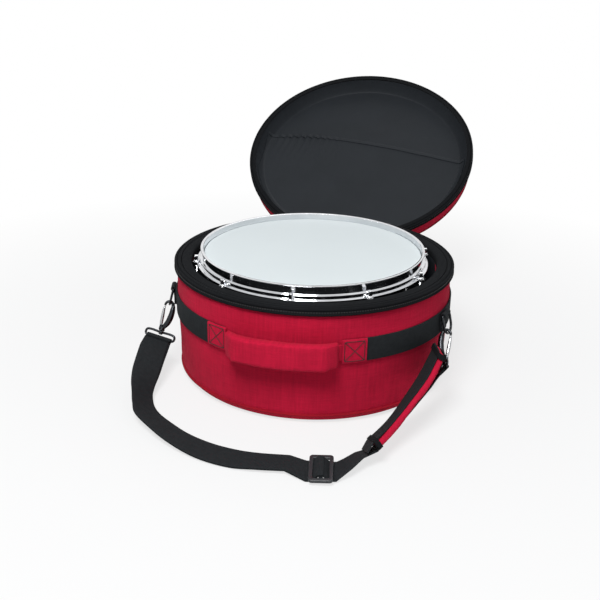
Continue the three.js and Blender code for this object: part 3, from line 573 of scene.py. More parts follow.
def strip(name, places, width, thickness, columns=8, bevel=True):
    """Webbing along places of (centre, across, normal). Its UV map runs along it and across it."""
    deselect()
    rows = len(places)
    bpy.ops.mesh.primitive_grid_add(x_subdivisions=rows - 1, y_subdivisions=columns, size=1)
    piece = named(name)
    lengths = [0.0]
    for (a, _, _), (b, _, _) in zip(places, places[1:]):
        lengths.append(lengths[-1] + (b - a).length)
    while piece.data.uv_layers:
        piece.data.uv_layers.remove(piece.data.uv_layers[0])
    layer = piece.data.uv_layers.new(name="cloth")
    corners = {}
    for vertex in piece.data.vertices:
        row, side = round((vertex.co.x + 0.5) * (rows - 1)), vertex.co.y
        centre, across, normal = places[row]
        corners[vertex.index] = (lengths[row], side * width)
        vertex.co = centre + across * (side * width)
    for loop in piece.data.loops:
        layer.data[loop.index].uv = corners[loop.vertex_index]
    modified(piece, "SOLIDIFY", thickness=thickness, offset=0)
    if bevel:
        modified(piece, "BEVEL", width=thickness * 0.3, segments=2, limit_method="ANGLE",
            angle_limit=math.radians(50))
    return piece


def stitches(name, route, normals, length, gap, radius, lift):
    """A row of short thread ends that dip into the cloth at both ends."""
    pieces, along, spans = [], 0.0, []
    for a, b in zip(route, route[1:]):
        spans.append((along, along + (b - a).length, a, b))
        along += (b - a).length
    at = gap / 2
    bpy.ops.mesh.primitive_cylinder_add(vertices=6, radius=radius, depth=length, end_fill_type="TRIFAN")
    master = named(name + "_one")
    while at + length < along:
        middle = at + length / 2
        i = next(k for k, span in enumerate(spans) if span[1] >= middle)
        low, high, a, b = spans[i]
        t = (middle - low) / (high - low)
        point = a.lerp(b, t) + normals[min(i, len(normals) - 1)] * lift
        turned_to = (b - a).to_track_quat("Z", "X").to_matrix().to_4x4()
        pieces.append(copied(master, name + "_part", Matrix.Translation(point) @ turned_to))
        at += length + gap
    bpy.data.objects.remove(master)
    return joined(pieces, name)

# %% [markdown]
# ## The drum
# The shell is a turned ring of lacquered wood with a bearing edge. Each head is a film folded down
# into a flesh hoop, and a pressed steel hoop with three flanges pulls it down. All three are
# profiles spun about the drum's own axis. The lower half is the upper half turned over.

# %% Shell, heads and hoops
to_drum = Matrix.Translation(drum_axis + Vector((0, 0, drum_middle)))
turned_over = to_drum @ Matrix.Rotation(2 * lug_angles[0], 4, "Z") @ Matrix.Rotation(math.pi, 4, "X")
shell_depth, shell_radius = 0.1651, 0.1778
half_depth = shell_depth / 2
shell = turned("shell_of_drum", 0.0012, [
    (0.1718, -half_depth + 0.004), (0.1754, -half_depth), (shell_radius, -half_depth + 0.0024),
    (shell_radius, half_depth - 0.0024), (0.1754, half_depth), (0.1718, half_depth - 0.004)], 160)
finished(placed(shell, to_drum), "drum", lacquer, ["drum_shell"])

skin = head_face - 0.0008
head_profile = eased([(0, head_face), (0.150, head_face), (0.1789, head_face), (0.1789, head_face - 0.008),
    (0.1830, head_face - 0.008), (0.1830, head_face - 0.014), (0.1781, head_face - 0.014),
    (0.1781, skin - 0.0026), (0.1756, skin), (0, skin)], 0.0022)
upper_head = spun("upper_head", head_profile, 160)
lower_head = copied(upper_head, "lower_head", turned_over)
finished(placed(upper_head, to_drum), "drum", drumhead_film, ["batter_head"])
finished(lower_head, "drum", drumhead_film, ["resonant_head"])

throat, sheet_of_steel = 0.1793, 0.0023
rim, step, low = head_face + hoop_above_head, head_face - 0.0077, head_face - 0.0138
hoop_inner = 0.1833
hoop_profile = eased([(throat, rim - 0.0006), (throat, step), (hoop_inner, step), (hoop_inner, low),
    (hoop_inner + 0.0072, low), (hoop_inner + 0.0072, low + sheet_of_steel),
    (hoop_inner + sheet_of_steel, low + sheet_of_steel),
    (hoop_inner + sheet_of_steel, step + sheet_of_steel),
    (throat + sheet_of_steel, step + sheet_of_steel + 0.0002),
    (throat + sheet_of_steel, rim - sheet_of_steel), (throat + 0.0047, rim - sheet_of_steel),
    (throat + 0.0047, rim)], 0.0011, True)
ring_of_hoop = spun("ring_of_hoop", hoop_profile, 176, True)

# %% [markdown]
# An ear stands out from the hoop at each rod: a flat tongue with a round end and a raised collar
# round its hole. One ear is made and turned to the ten places.

# %% Ears
tongue = cube("tongue", (hoop_inner + 0.001, -0.0072, low), (rod_circle, 0.0072, low + sheet_of_steel),
    0.0006)
disc = placed(turned("disc", 0.0006, [(0.0032, low), (0.0059, low), (0.0059, low + sheet_of_steel),
    (0.0032, low + sheet_of_steel)]), Matrix.Translation((rod_circle, 0, 0)))
ear = joined([tongue, disc], "ear")
ears = [copied(ear, "ear_copy", Matrix.Rotation(a, 4, "Z")) for a in lug_angles]
bpy.data.objects.remove(ear)
upper_hoop = joined([ring_of_hoop] + ears, "upper_hoop")
lower_hoop = copied(upper_hoop, "lower_hoop", turned_over)
finished(placed(upper_hoop, to_drum), "drum", chrome, ["batter_hoop"], 30)
finished(lower_hoop, "drum", chrome, ["resonant_hoop"], 30)

# %% [markdown]
# A tension rod has a square head for the key, a washer under it, and a thread. The head is a cube
# whose top is bevelled. The thread is turned as a row of rings, which stand for its helix.

# %% Tension rods
seat = low + sheet_of_steel + 0.0003
key = cube("key_square", (-0.003, -0.003, seat + 0.0010), (0.003, 0.003, seat + 0.0105), 0.0006, 3)
collar = turned("collar", 0.0005, [(0, seat), (0.0050, seat), (0.0050, seat + 0.0009),
    (0.0042, seat + 0.0022), (0, seat + 0.0022)], closed=False)
thread_profile, z = [(0, 0.0102)], 0.0104
while z < seat:
    thread_profile += [(0.0024, z), (0.0028, z + 0.0006)]
    z += 0.0012
thread = spun("thread", thread_profile + [(0, seat + 0.0004)], 14)
one_rod = joined([key, collar, thread], "rod")
for side, base, tag in (("batter", to_drum, "upper"), ("resonant", turned_over, "lower")):
    for k, angle in enumerate(lug_angles):
        local = angle if side == "batter" else 2 * lug_angles[0] - angle
        at = (base @ Matrix.Rotation(local, 4, "Z") @ Matrix.Translation((rod_circle, 0, 0))
            @ Matrix.Rotation(0.6 * k, 4, "Z"))
        rod_copy = copied(one_rod, f"{tag}_rod_{k + 1:02d}", at)
        finished(rod_copy, f"{side}_rod_{k + 1:02d}_body", chrome, [f"{side}_rod_{k + 1:02d}"],
            30)
bpy.data.objects.remove(one_rod)

# %% [markdown]
# A lug is a tube that takes a rod from each end, on a foot that is screwed through the shell. The
# tube has a turned bead at each end and one in the middle. The foot is a bevelled block.

# %% Lugs
tube = placed(turned("tube", 0.0006, [(0.0034, -0.028), (0.0056, -0.028), (0.0064, -0.0268),
    (0.0064, -0.0235), (0.0054, -0.0225), (0.0054, -0.0035), (0.0064, -0.0025), (0.0064, 0.0025),
    (0.0054, 0.0035), (0.0054, 0.0225), (0.0064, 0.0235), (0.0064, 0.0268), (0.0056, 0.028),
    (0.0034, 0.028)]), Matrix.Translation((rod_circle, 0, 0)))
foot = cube("foot", (0.1781, -0.0075, -0.018), (0.1868, 0.0075, 0.018), 0.003, 4)
one_lug = joined([tube, foot], "lug_master")
for k, angle in enumerate(lug_angles):
    finished(copied(one_lug, f"turned_lug_{k + 1:02d}", to_drum @ Matrix.Rotation(angle, 4, "Z")), "drum",
        chrome, [f"lug_{k + 1:02d}"], 30)
bpy.data.objects.remove(one_lug)
in_shell = (to_drum @ Matrix.Rotation(math.radians(38.5), 4, "Z")
    @ Matrix.Translation((0.1783, 0, 0)) @ Matrix.Rotation(math.pi / 2, 4, "Y"))
vent = placed(turned("vent_grommet", 0.0004, [(0.0030, -0.0005), (0.0062, -0.0005), (0.0062, 0.0005),
    (0.0045, 0.0014), (0.0030, 0.0014)]), in_shell)
finished(vent, "drum", chrome, ())

# %% [markdown]
# ## The bag's wall
# Foam between two cloths gives a wall that stands by itself but is never quite true. It is turned
# from a profile, then its outside is pressed in a little here and there. A cord covered with cloth
# goes round the base's seam.

# %% Wall and base
def creased(depth, scale, still=(), seed=0.0):
    """Presses a turned wall in by a soft random amount, and presses the heights in still only a quarter as
    far.
    """
    def move(p):
        radius = math.hypot(p.x, p.y)
        if radius < 0.19:
            return p
        level = 0.5 + 0.5 * noise.noise(Vector((p.x * scale, p.y * scale, p.z * scale * 1.7 + seed)))
        level += 0.25 * noise.noise(Vector((p.x * scale * 3, p.y * scale * 3, p.z * scale * 2 + seed + 7)))
        for low, high in still:
            if low <= p.z <= high:
                level *= 0.25
        shrink = 1 - depth * max(0.0, level) / radius
        return Vector((p.x * shrink, p.y * shrink, p.z))
    return move


inner_radius = cavity_radius + 0.002
outer_line = [(wall_radius - 0.018, 0.0), (wall_radius - 0.010, 0.0025), (wall_radius - 0.006, 0.009),
    (wall_radius - 0.0035, 0.016)]
outer_line += [(wall_radius - 0.0035 + 0.0035 * min(1, ((z - 0.016) / 0.09)) ** 0.6, z)
    for z in np.linspace(0.024, wall_top - 0.002, 22)]
wall = spun("padded_wall", [(0, 0)] + outer_line + [(wall_radius - 0.002, wall_top),
    (inner_radius, wall_top), (inner_radius, 0.0177), (0, 0.0177)], 200)
reshape(wall, creased(0.0022, 14, [(belt_low - 0.006, belt_high + 0.006), (0, 0.012)]))
finished(wall, "bag", red_cloth, ["bag_shell"], 50)


def piping(name, radius, height, thick, finish, body="bag", matrix=None, steps=200):
    """A covered cord sewn into a seam that goes round the Z axis."""
    ring = [(radius + thick * math.cos(a), height + thick * math.sin(a))
        for a in np.linspace(0, 2 * math.pi, 10, endpoint=False)]
    piece = spun(name, ring, steps, True)
    if matrix:
        placed(piece, matrix)
    return finished(piece, body, finish, (), 70, matrix.inverted() if matrix else None)


piping("base_piping", wall_radius - 0.0045, 0.0125, 0.0024, dark_red_cloth)

# %% Lining
lining_floor = 0.018
lining = turned("lining_of_bag", 0.004, [(0, lining_floor), (cavity_radius + 0.0017, lining_floor),
    (cavity_radius + 0.0017, wall_top + 0.0002), (cavity_radius + 0.0002, wall_top + 0.0002),
    (cavity_radius, lining_floor + 0.0017), (0, lining_floor + 0.0017)], 160, closed=False)
finished(lining, "bag", lining_cloth, ["bag_lining"], 50)

# %% [markdown]
# ## Rim and zip
# The rim is a band of black cloth over foam. Its top is flat and sewn down along two lines, which
# show as grooves, and half of the zip is sewn round its outside between two cords. The teeth are
# one small moulding repeated round the rim.

# %% Rim band
def rim_profile(inner, outer, low, high, mouth_up):
    """The rim's section. Its mouth is the side where the zip's teeth are."""
    z = (lambda v: low + v) if mouth_up else (lambda v: high - v)
    height = high - low
    return [(inner, z(0.0006)), (outer - 0.0030, z(0.0)), (outer - 0.0010, z(0.0006)), (outer, z(0.0018)),
        (outer - 0.0004, z(0.0032)), (outer - 0.0018, z(0.0040)), (outer - 0.0020, z(0.0074)),
        (outer - 0.0012, z(0.0082)), (outer - 0.0003, z(0.0092)), (outer - 0.0004, z(height - 0.0016)),
        (outer - 0.0018, z(height - 0.0005)), (outer - 0.0040, z(height - 0.0004)),
        (outer - 0.0048, z(height - 0.0026)), (outer - 0.0057, z(height - 0.0004)),
        (outer - 0.0085, z(height)), (outer - 0.0111, z(height - 0.0003)),
        (outer - 0.0119, z(height - 0.0023)), (outer - 0.0127, z(height - 0.0003)),
        (inner + 0.0060, z(height)), (inner + 0.0022, z(height - 0.0004)),
        (inner + 0.0004, z(height - 0.0020)), (inner, z(height - 0.0040))]


rim_piece = spun("rim_of_bag", rim_profile(cavity_radius, rim_radius, rim_low, rim_top, True), 200, True)
finished(rim_piece, "bag", black_cloth, ["rim_band"], 60)


def zip_teeth(name, radius, height, body, count=360, matrix=None):
    """One tooth, bevelled, repeated round a circle."""
    tooth = cube("tooth", (-0.0011, -radius - 0.0006, height - 0.0010),
        (0.0011, -radius + 0.0008, height + 0.0010), 0.0003, 1)
    sites = [Matrix.Rotation(2 * math.pi * k / count, 4, "Z") for k in range(count)]
    points = np.array([v.co for v in tooth.data.vertices])
    faces = [list(face.vertices) for face in tooth.data.polygons]
    all_points, all_faces = [], []
    for k, site in enumerate(sites):
        all_points += [site @ Vector(p) for p in points]
        all_faces += [[v + k * len(points) for v in face] for face in faces]
    mesh = bpy.data.meshes.new(name)
    mesh.from_pydata(all_points, [], all_faces)
    piece = bpy.data.objects.new(name, mesh)
    bpy.context.collection.objects.link(piece)
    bpy.data.objects.remove(tooth)
    if matrix:
        placed(piece, matrix)
    return finished(piece, body, zip_teeth_finish, (), 30)


zip_teeth("zip_teeth_of_bag", rim_radius - 0.0018, rim_low + 0.0058, "bag")

# %% [markdown]
# ## The lid
# The lid is made closed, where its heights are easy to say, and then turned back about the hinge.
# Its lining is turned like the rest, and then its face is pushed about by a soft random amount,
# because the real cloth is slack. Near its edge it comes up to meet the rim.

# %% Where the lid goes
hinge = Vector((0, rim_radius + 0.004, rim_top - 0.028))
turned_back = Matrix.Rotation(math.radians(-147), 4, "X")
open_lid = Matrix.Translation(hinge) @ turned_back @ Matrix.Translation(-hinge)
closed_again = open_lid.inverted()
lid_mouth, lid_high = rim_top + 0.0004, rim_top + 0.044
lid_ceiling, lid_inside = lid_high - 0.012, wall_radius - 0.010
lid_wall_low = lid_mouth + 0.0126

# %% Lid top, rim and piping
top_line = [(wall_radius - 0.0005, z) for z in np.linspace(lid_wall_low, lid_high - 0.012, 6)]
top_line += [(wall_radius - 0.001, lid_high - 0.008), (wall_radius - 0.004, lid_high - 0.003),
    (wall_radius - 0.010, lid_high - 0.0005), (wall_radius - 0.020, lid_high + 0.0004)]
top_line += [(r, lid_high + 0.0004 + 0.0016 * (1 - r / 0.206)) for r in np.linspace(0.190, 0, 9)]
lid_top = spun("padded_lid", [(0, lid_ceiling), (lid_inside, lid_ceiling),
    (lid_inside, lid_wall_low)] + top_line, 200)
reshape(lid_top, creased(0.0014, 14, (), 3.0))
finished(placed(lid_top, open_lid), "lid", red_cloth, ["lid_shell"], 50, closed_again)
lid_rim = spun("rim_of_lid", rim_profile(lid_inside + 0.0024, rim_radius, lid_mouth, lid_mouth + 0.0123,
    False), 200, True)
finished(placed(lid_rim, open_lid), "lid", black_cloth, ["lid_rim"], 60, closed_again)
piping("lid_piping", wall_radius - 0.0035, lid_high - 0.0042, 0.0022, dark_red_cloth, "lid", open_lid)
zip_teeth("zip_teeth_of_lid", rim_radius - 0.0018, lid_mouth + 0.0123 - 0.0058, "lid", 360, open_lid)

# %% Lining of the lid
lining_out = lid_inside - 0.0003
lining_low = lid_ceiling - 0.0020
lining_edge = lid_inside + 0.0032
flat_radius, droop = 0.203, 0.0035


def lining_height(radius):
    """The lining's inner face: nearly flat in the middle, and coming up to the rim's mouth."""
    rise = min(1.0, max(0.0, (radius - flat_radius) / (lining_edge - flat_radius)))
    return (lining_low - droop * min(1.0, radius / flat_radius) ** 4
        - (lining_low - droop - lid_mouth - 0.0010) * rise ** 1.3)


def slack(p):
    """The lining's inner face lifts and falls by a millimetre and a half over foam."""
    radius = math.hypot(p.x, p.y)
    if p.z > lining_height(radius) + 0.0006 or radius > lining_edge - 0.003:
        return p
    fold = noise.noise(Vector((p.x * 9, p.y * 16, 2.0)))
    fold += 0.5 * noise.noise(Vector((p.x * 28, p.y * 40, 5.0)))
    pull = 0.0012 * math.sin(math.atan2(p.y, p.x) * 70) * max(0.0, (radius - 0.185) / 0.03) ** 2
    return Vector((p.x, p.y, p.z + 0.0006 + 0.0008 * fold + pull * 0.6))


face_line = [(r, lining_height(r)) for r in list(np.linspace(0, 0.178, 24))
    + list(np.linspace(0.181, lining_edge, 34))]
lid_lining = spun("lining_of_lid", face_line + [(lining_edge + 0.0004, lid_mouth + 0.0006),
    (lining_out, lid_wall_low - 0.002), (lining_out, lining_low + 0.0016), (0, lining_low + 0.0017)], 240)
reshape(lid_lining, slack)
finished(placed(lid_lining, open_lid), "lid", lining_cloth, ["lid_lining"], 50,
    closed_again)

# %% [markdown]
# The pocket is one sheet over the half of the lid next to the hinge. It is a grid from its slack
# mouth to the rim, hangs away from the lining along the mouth, and is drawn into small gathers
# where one end of the mouth is sewn in.

# %% Pocket
pocket_radius = lining_out - 0.0025
mouth_line = [-0.050, -0.057, -0.051, -0.038, -0.022, -0.006]
start_x = -math.sqrt(pocket_radius**2 - mouth_line[0] ** 2)
end_x = math.sqrt(pocket_radius**2 - mouth_line[-1] ** 2)


def mouth_at(t):
    """The mouth's distance from the middle of the lid, smoothly between the chosen places."""
    t = min(max(t, 0.0), 1.0) * (len(mouth_line) - 1)
    i = min(int(t), len(mouth_line) - 2)
    k = t - i
    a, b = mouth_line[max(i - 1, 0)], mouth_line[i]
    c, d = mouth_line[i + 1], mouth_line[min(i + 2, len(mouth_line) - 1)]
    return 0.5 * (2 * b + (c - a) * k + (2 * a - 5 * b + 4 * c - d) * k * k
        + (3 * b - a - 3 * c + d) * k**3)


def on_pocket(u, v):
    """A point of the pocket: u across the lid, v from the mouth (0) to the rim (1)."""
    x = start_x + (end_x - start_x) * u
    edge, far = mouth_at(u), math.sqrt(max(pocket_radius**2 - x * x, 0))
    y = edge + (far - edge) * v
    side = max(0.0, math.sin(math.pi * u)) ** 0.5
    bulge = (0.0042 + 0.0085 * u) * side * (1 - v) ** 3.0
    folds = 0.0009 * noise.noise(Vector((x * 13 + y * 7, y * 20, 9.0)))
    folds += 0.0006 * noise.noise(Vector((x * 40, y * 22, 4.0)))
    gather = (0.0040 * math.exp(-((u - 0.15) / 0.16) ** 2) * math.exp(-v / 0.16)
        * math.sin(x * 430 + y * 120))
    return Vector((x, y, lining_height(math.hypot(x, y)) - 0.0016 - bulge + side * (folds + gather)))


def cloth_grid(name, point, columns, rows):
    """A grid primitive whose corners are laid at point(u, v)."""
    deselect()
    bpy.ops.mesh.primitive_grid_add(x_subdivisions=columns, y_subdivisions=rows, size=1)
    piece = named(name)
    return reshape(piece, lambda p: point(p.x + 0.5, p.y + 0.5))


pocket = cloth_grid("pocket_of_lid", on_pocket, 150, 60)
modified(pocket, "SOLIDIFY", thickness=0.0007, offset=0)
hem = strip("pocket_hem", [(on_pocket(t, 0.010) + Vector((0, 0, -0.0004)), Vector((0, 1, 0)),
    Vector((0, 0, 1))) for t in np.linspace(0.004, 0.996, 140)], 0.0075, 0.0022, 4)
finished(placed(pocket, open_lid), "lid", lining_cloth, ["lid_pocket"], 60, closed_again)
finished(placed(hem, open_lid), "lid", lining_cloth, (), 60)

# %% [markdown]
# The cloth hinge is made in its bent shape where the lid turns.

# %% Hinge cloth
def opened(x, y, z):
    return open_lid @ Vector((x, y, z))


def on_hinge(u, v):
    x = (u - 0.5) * 0.110
    wall_y = math.sqrt((wall_radius + 0.0003) ** 2 - x * x) + 0.0008
    rim_y = math.sqrt((rim_radius + 0.0003) ** 2 - x * x) + 0.0008
    stations = [Vector((x, wall_y, hinge.z - 0.010)), Vector((x, wall_y, hinge.z - 0.003)),
        Vector((x, wall_y + 0.0001, hinge.z + 0.0028)), Vector((x, wall_y + 0.0036, hinge.z + 0.0046)),
        opened(x, rim_y + 0.0006, lid_mouth - 0.006), opened(x, rim_y, lid_mouth - 0.0015),
        opened(x, rim_y, lid_mouth + 0.005), opened(x, rim_y, lid_mouth + 0.0113)]
    t = v * (len(stations) - 1)
    i = min(int(t), len(stations) - 2)
    return stations[i].lerp(stations[i + 1], t - i)


hinge_cloth = cloth_grid("hinge_cloth", on_hinge, 40, 42)
modified(hinge_cloth, "SMOOTH", factor=0.4, iterations=3)
modified(hinge_cloth, "SOLIDIFY", thickness=0.0011, offset=0)
bend_start, bend_end = Vector((0, wall_radius + 0.002, hinge.z + 0.003)), opened(0, rim_radius, lid_mouth)
finished(hinge_cloth, ("bag", "lid", bend_start, bend_end), black_cloth, ["lid_hinge_web"],
    60)

# %% [markdown]
# ## Belt, tabs and patches
# A belt of webbing goes round the wall from one patch to the other by way of the back. It is a flat
# section spun through most of a turn. At each side a folded tab of webbing holds a ring's bar.

# %% Belt
belt_inner, belt_outer = wall_radius + 0.0003, wall_radius + 0.0025
belt = turned("belt_of_bag", 0.0008, [(belt_inner, belt_low), (belt_outer, belt_low),
    (belt_outer, belt_high), (belt_inner, belt_high)], 150, arc=312.8, start=23.6 - 90)
ring_bar = Vector((0, -(wall_radius + 0.007), 0.135))
side_angle = {"left": -75.0, "right": 75.0}


def round_side(degrees):
    return Matrix.Rotation(math.radians(degrees), 4, "Z")


def folded_tab(name, side):
    """Webbing sewn to the belt, up and over the ring's bar and down on itself."""
    arc = [(ring_bar.y - 0.0034 * math.sin(t), ring_bar.z + 0.0034 * math.cos(t))
        for t in np.linspace(-1.7, 2.2, 14)]
    route = [(-belt_outer - 0.0009, belt_middle - 0.014), (-belt_outer - 0.0009, belt_middle),
        (-belt_outer - 0.0010, 0.131)] + arc
    route += [(-belt_outer - 0.0034, 0.1285), (-belt_outer - 0.0028, 0.123),
        (-belt_outer - 0.0028, belt_middle - 0.014)]
    places = []
    for i, (y, z) in enumerate(route):
        a, b = route[max(i - 1, 0)], route[min(i + 1, len(route) - 1)]
        heading = Vector((0, b[0] - a[0], b[1] - a[1])).normalized()
        places.append((Vector((0, y, z)), Vector((1, 0, 0)), heading.cross(Vector((1, 0, 0)))))
    return placed(strip(name, places, 0.024, 0.0017, 6), round_side(side_angle[side]))


tabs = [folded_tab(f"tab_{side}", side) for side in side_angle]
finished(belt, "bag", webbing, ["side_belt"], 50)
for tab in tabs:
    finished(tab, "bag", webbing, (), 50)

# %% [markdown]
# Each patch is a square of the red cloth, sewn round its edge and across in an X, because it
# carries the weight of the drum. The thread is real geometry, a short stitch repeated.

# %% Patches and their stitches
def on_wall(degrees, radius, height):
    a = math.radians(degrees)
    return Vector((radius * math.sin(a), -radius * math.cos(a), height))


patch_radius = belt_outer + 0.0003
for side, angle in (("left", -27.3), ("right", 27.3)):
    half = math.degrees(0.019 / belt_outer)
    patch = turned(f"patch_{side}", 0.0008, [(patch_radius, belt_middle - 0.019),
        (patch_radius + 0.0010, belt_middle - 0.019), (patch_radius + 0.0018, belt_middle - 0.016),
        (patch_radius + 0.0018, belt_middle + 0.016), (patch_radius + 0.0010, belt_middle + 0.019),
        (patch_radius, belt_middle + 0.019)], 12, arc=2 * half, start=angle - half - 90)
    finished(patch, "bag", red_cloth, [f"handle_patch_{side}"], 50)
    reach, d = half * 0.80, 0.0155
    corners = [(-reach, -d), (reach, -d), (reach, d), (-reach, d), (-reach, -d), (reach, d), (reach, -d),
        (-reach, d)]
    rows = [corners[0:2], corners[1:3], corners[2:4], corners[3:5], corners[4:6], corners[6:8]]
    threads = []
    for row, (a, b) in enumerate(rows):
        route = [on_wall(angle + a[0] + (b[0] - a[0]) * t, patch_radius + 0.0019,
            belt_middle + a[1] + (b[1] - a[1]) * t) for t in np.linspace(0, 1, 9)]
        threads.append(stitches(f"thread_{side}_{row}", route, [route[0].normalized()], 0.0027, 0.0006,
            0.00070, 0.0))
    finished(joined(threads, f"patch_thread_{side}"), "bag", thread_red, (), 40)

# %% [markdown]
# ## The carry handle
# The grip is a soft bar of foam in the red cloth. A bevelled box is bent round the wall, remeshed
# evenly and blown up a little by Blender's cloth, which rounds its faces. A short strap at each end
# goes under the patch.

# %% Blowing up a padded piece
def puffed(piece, voxel, pressure, cap):
    """Evens the mesh, lets air press on the cloth for twenty steps, and caps how far it may move."""
    only(piece)
    modified(piece, "REMESH", mode="VOXEL", voxel_size=voxel)
    before = [vertex.co.copy() for vertex in piece.data.vertices]
    air = piece.modifiers.new("air", "CLOTH")
    air.settings.use_pressure, air.settings.uniform_pressure_force = True, pressure
    air.settings.effector_weights.gravity = 0
    air.settings.quality = 4
    for step in range(1, 21):
        bpy.context.scene.frame_set(step)
    applied(piece)
    bpy.context.scene.frame_set(1)
    for vertex, start in zip(piece.data.vertices, before):
        moved = vertex.co - start
        if moved.length > cap:
            vertex.co = start + moved.normalized() * cap
    return piece


# %% Grip
grip_radius = wall_radius + 0.019
reach = 0.0895


def bend_round(p):
    """From a bar along X, with its back at y = 0, to a bar bent round the wall."""
    angle = p.x / grip_radius
    ease = min(1.0, max(0.0, (abs(p.x) - 0.076) / 0.0135)) ** 1.6
    depth = wall_radius + 0.0115 - 0.0060 * ease + p.y * (1 - 0.55 * ease)
    return Vector((depth * math.sin(angle), -depth * math.cos(angle),
        belt_middle + p.z * (1 - 0.10 * ease * ease)))


grip = cube("grip", (-reach, 0.0, -0.0205), (reach, 0.0170, 0.0205), 0.0026, 3)
edited(bpy.ops.mesh.subdivide, number_cuts=9)
reshape(grip, bend_round)
puffed(grip, 0.0023, 3.0, 0.0014)
modified(grip, "SMOOTH", factor=0.5, iterations=4)
finished(grip, "handle", red_cloth, ["carry_handle"], 60)
for side, sign in (("left", -1), ("right", 1)):
    route = [(19.6, wall_radius + 0.0105), (20.6, wall_radius + 0.0080), (21.4, wall_radius + 0.0062),
        (22.3, wall_radius + 0.0055)]
    places = []
    for angle, radius in route:
        middle = on_wall(sign * angle, radius, belt_middle)
        places.append((middle, Vector((0, 0, 1)), Vector((middle.x, middle.y, 0)).normalized()))
    strap_end = strip(f"handle_strap_{side}", places, 0.026, 0.0026, 6)
    finished(strap_end, "handle", red_cloth, (), 60)

# %% [markdown]
# ## Rings and hooks
# The rings and loops are bent from round wire, so each is a curve with a round bevel, made a mesh.
# A hook is a tapering wire too, with a turned barrel, and its sprung gate is a bright steel finger.

# %% D-rings
def ring_point(x, drop):
    lean = drop / 0.032 * 0.008
    return Vector((x, ring_bar.y - lean, ring_bar.z - math.sqrt(max(drop * drop - lean * lean, 0))))


ring_route = [ring_point(0.0135, 0.0004), ring_point(0.005, 0), ring_point(-0.005, 0),
    ring_point(-0.0135, 0.0004), ring_point(-0.0149, 0.0025)]
ring_route += [ring_point(-0.015 * math.cos(a), 0.017 + 0.015 * math.sin(a))
    for a in np.linspace(0, math.pi, 13)] + [ring_point(0.0149, 0.0025)]
for side, angle in side_angle.items():
    piece = placed(wire(f"wire_ring_{side}", ring_route, 0.0020, True, True, 5), round_side(angle))
    finished(piece, "bag", gunmetal, [f"d_ring_{side}"], 60)

# %% Where the hooks are, from their joints
joints = {joint["name"]: joint for joint in frame["record"]["behaviour"]["joints"]}
bars = {"left": Vector((-0.95, 0.15, 0.23)), "right": Vector((0.21, -0.76, 0.61))}
hook_frames, loop_frames = {}, {}
for side in side_angle:
    swivel, gate = joints[f"hook_swivel_{side}"], joints[f"gate_{side}"]
    z_axis, y_axis = Vector(swivel["axis"]).normalized(), -Vector(gate["axis"]).normalized()
    x_axis = y_axis.cross(z_axis)
    origin = Vector(swivel["pos_m"])
    hook_frames[side] = Matrix.Translation(origin) @ Matrix((x_axis, y_axis, z_axis)).transposed().to_4x4()
    bar = (bars[side] - z_axis * bars[side].dot(z_axis)).normalized()
    turn = Matrix((bar, z_axis.cross(bar), z_axis)).transposed().to_4x4()
    loop_frames[side] = Matrix.Translation(origin) @ turn


def hook_points(pairs):
    return [Vector((x / 1000, 0, z / 1000)) for x, z in pairs]


# %% One hook, gate and loop, copied to both sides
hook_body = wire("hook_body", hook_points([(0, 6), (-2.2, 10.6), (-5.4, 17), (-7.4, 27), (-7.4, 41),
    (-6.1, 48), (-3.4, 52.1), (0.6, 53.7), (4.5, 51.9), (6.7, 48.2), (7.0, 44.7)]),
    [0.0034, 0.0040, 0.0047, 0.0050, 0.0043, 0.0030, 0.0025, 0.0023, 0.0023, 0.0021, 0.0017], False, True,
    6)
barrel = turned("barrel", 0.0006, [(0, 0.0024), (0.0042, 0.0024), (0.0050, 0.0034), (0.0050, 0.0048),
    (0.0043, 0.0054), (0.0048, 0.0062), (0.0046, 0.0078), (0.0034, 0.0092), (0, 0.0098)], closed=False)
pin_foot = turned("pin_foot", 0.0004, [(0, -0.0041), (0.0026, -0.0041), (0.0034, -0.0032),
    (0.0034, -0.0024), (0.0020, -0.0023), (0.0020, 0.0030), (0, 0.0030)], closed=False)
cheeks = [cube("cheek", (0.0010, y - 0.0006, 0.0042), (0.0054, y + 0.0006, 0.0128), 0.0005)
    for y in (-0.0029, 0.0029)]
pivot = placed(rod("pivot", 0.0013, -0.0038, 0.0038, 0.0004, 20),
    Matrix.Translation((0.0036, 0, 0.011)) @ Matrix.Rotation(math.pi / 2, 4, "X"))
hook_master = joined([hook_body, barrel, pin_foot, pivot] + cheeks, "hook_master")
gate_bar = wire("gate_bar", hook_points([(3.6, 11), (4.3, 16), (5.7, 28), (6.8, 39), (7.0, 43.8)]),
    [0.0022, 0.0027, 0.0028, 0.0021, 0.0014], False, True, 5)
gate_root = placed(rod("gate_root", 0.0021, -0.0021, 0.0021, 0.0004, 24),
    Matrix.Translation((0.0036, 0, 0.011)) @ Matrix.Rotation(math.pi / 2, 4, "X"))
gate_master = joined([gate_bar, gate_root], "gate_master")
half_loop = 0.0262
loop_route = [(-half_loop + 0.004, 0), (0, 0), (half_loop - 0.004, 0), (half_loop - 0.0012, -0.0013),
    (half_loop, -0.0038), (half_loop, -0.0062), (half_loop - 0.0012, -0.0087), (half_loop - 0.004, -0.010),
    (0, -0.010), (-half_loop + 0.004, -0.010), (-half_loop + 0.0012, -0.0087), (-half_loop, -0.0062),
    (-half_loop, -0.0038), (-half_loop + 0.0012, -0.0013)]
loop_wire = wire("loop_wire", [Vector((x, 0, z)) for x, z in loop_route], 0.0020, True, True, 5)
loop_boss = turned("loop_boss", 0.0010, [(0.0023, -0.0021), (0.0056, -0.0021), (0.0056, 0.0021),
    (0.0023, 0.0021)])
loop_master = joined([loop_wire, loop_boss], "loop_master")
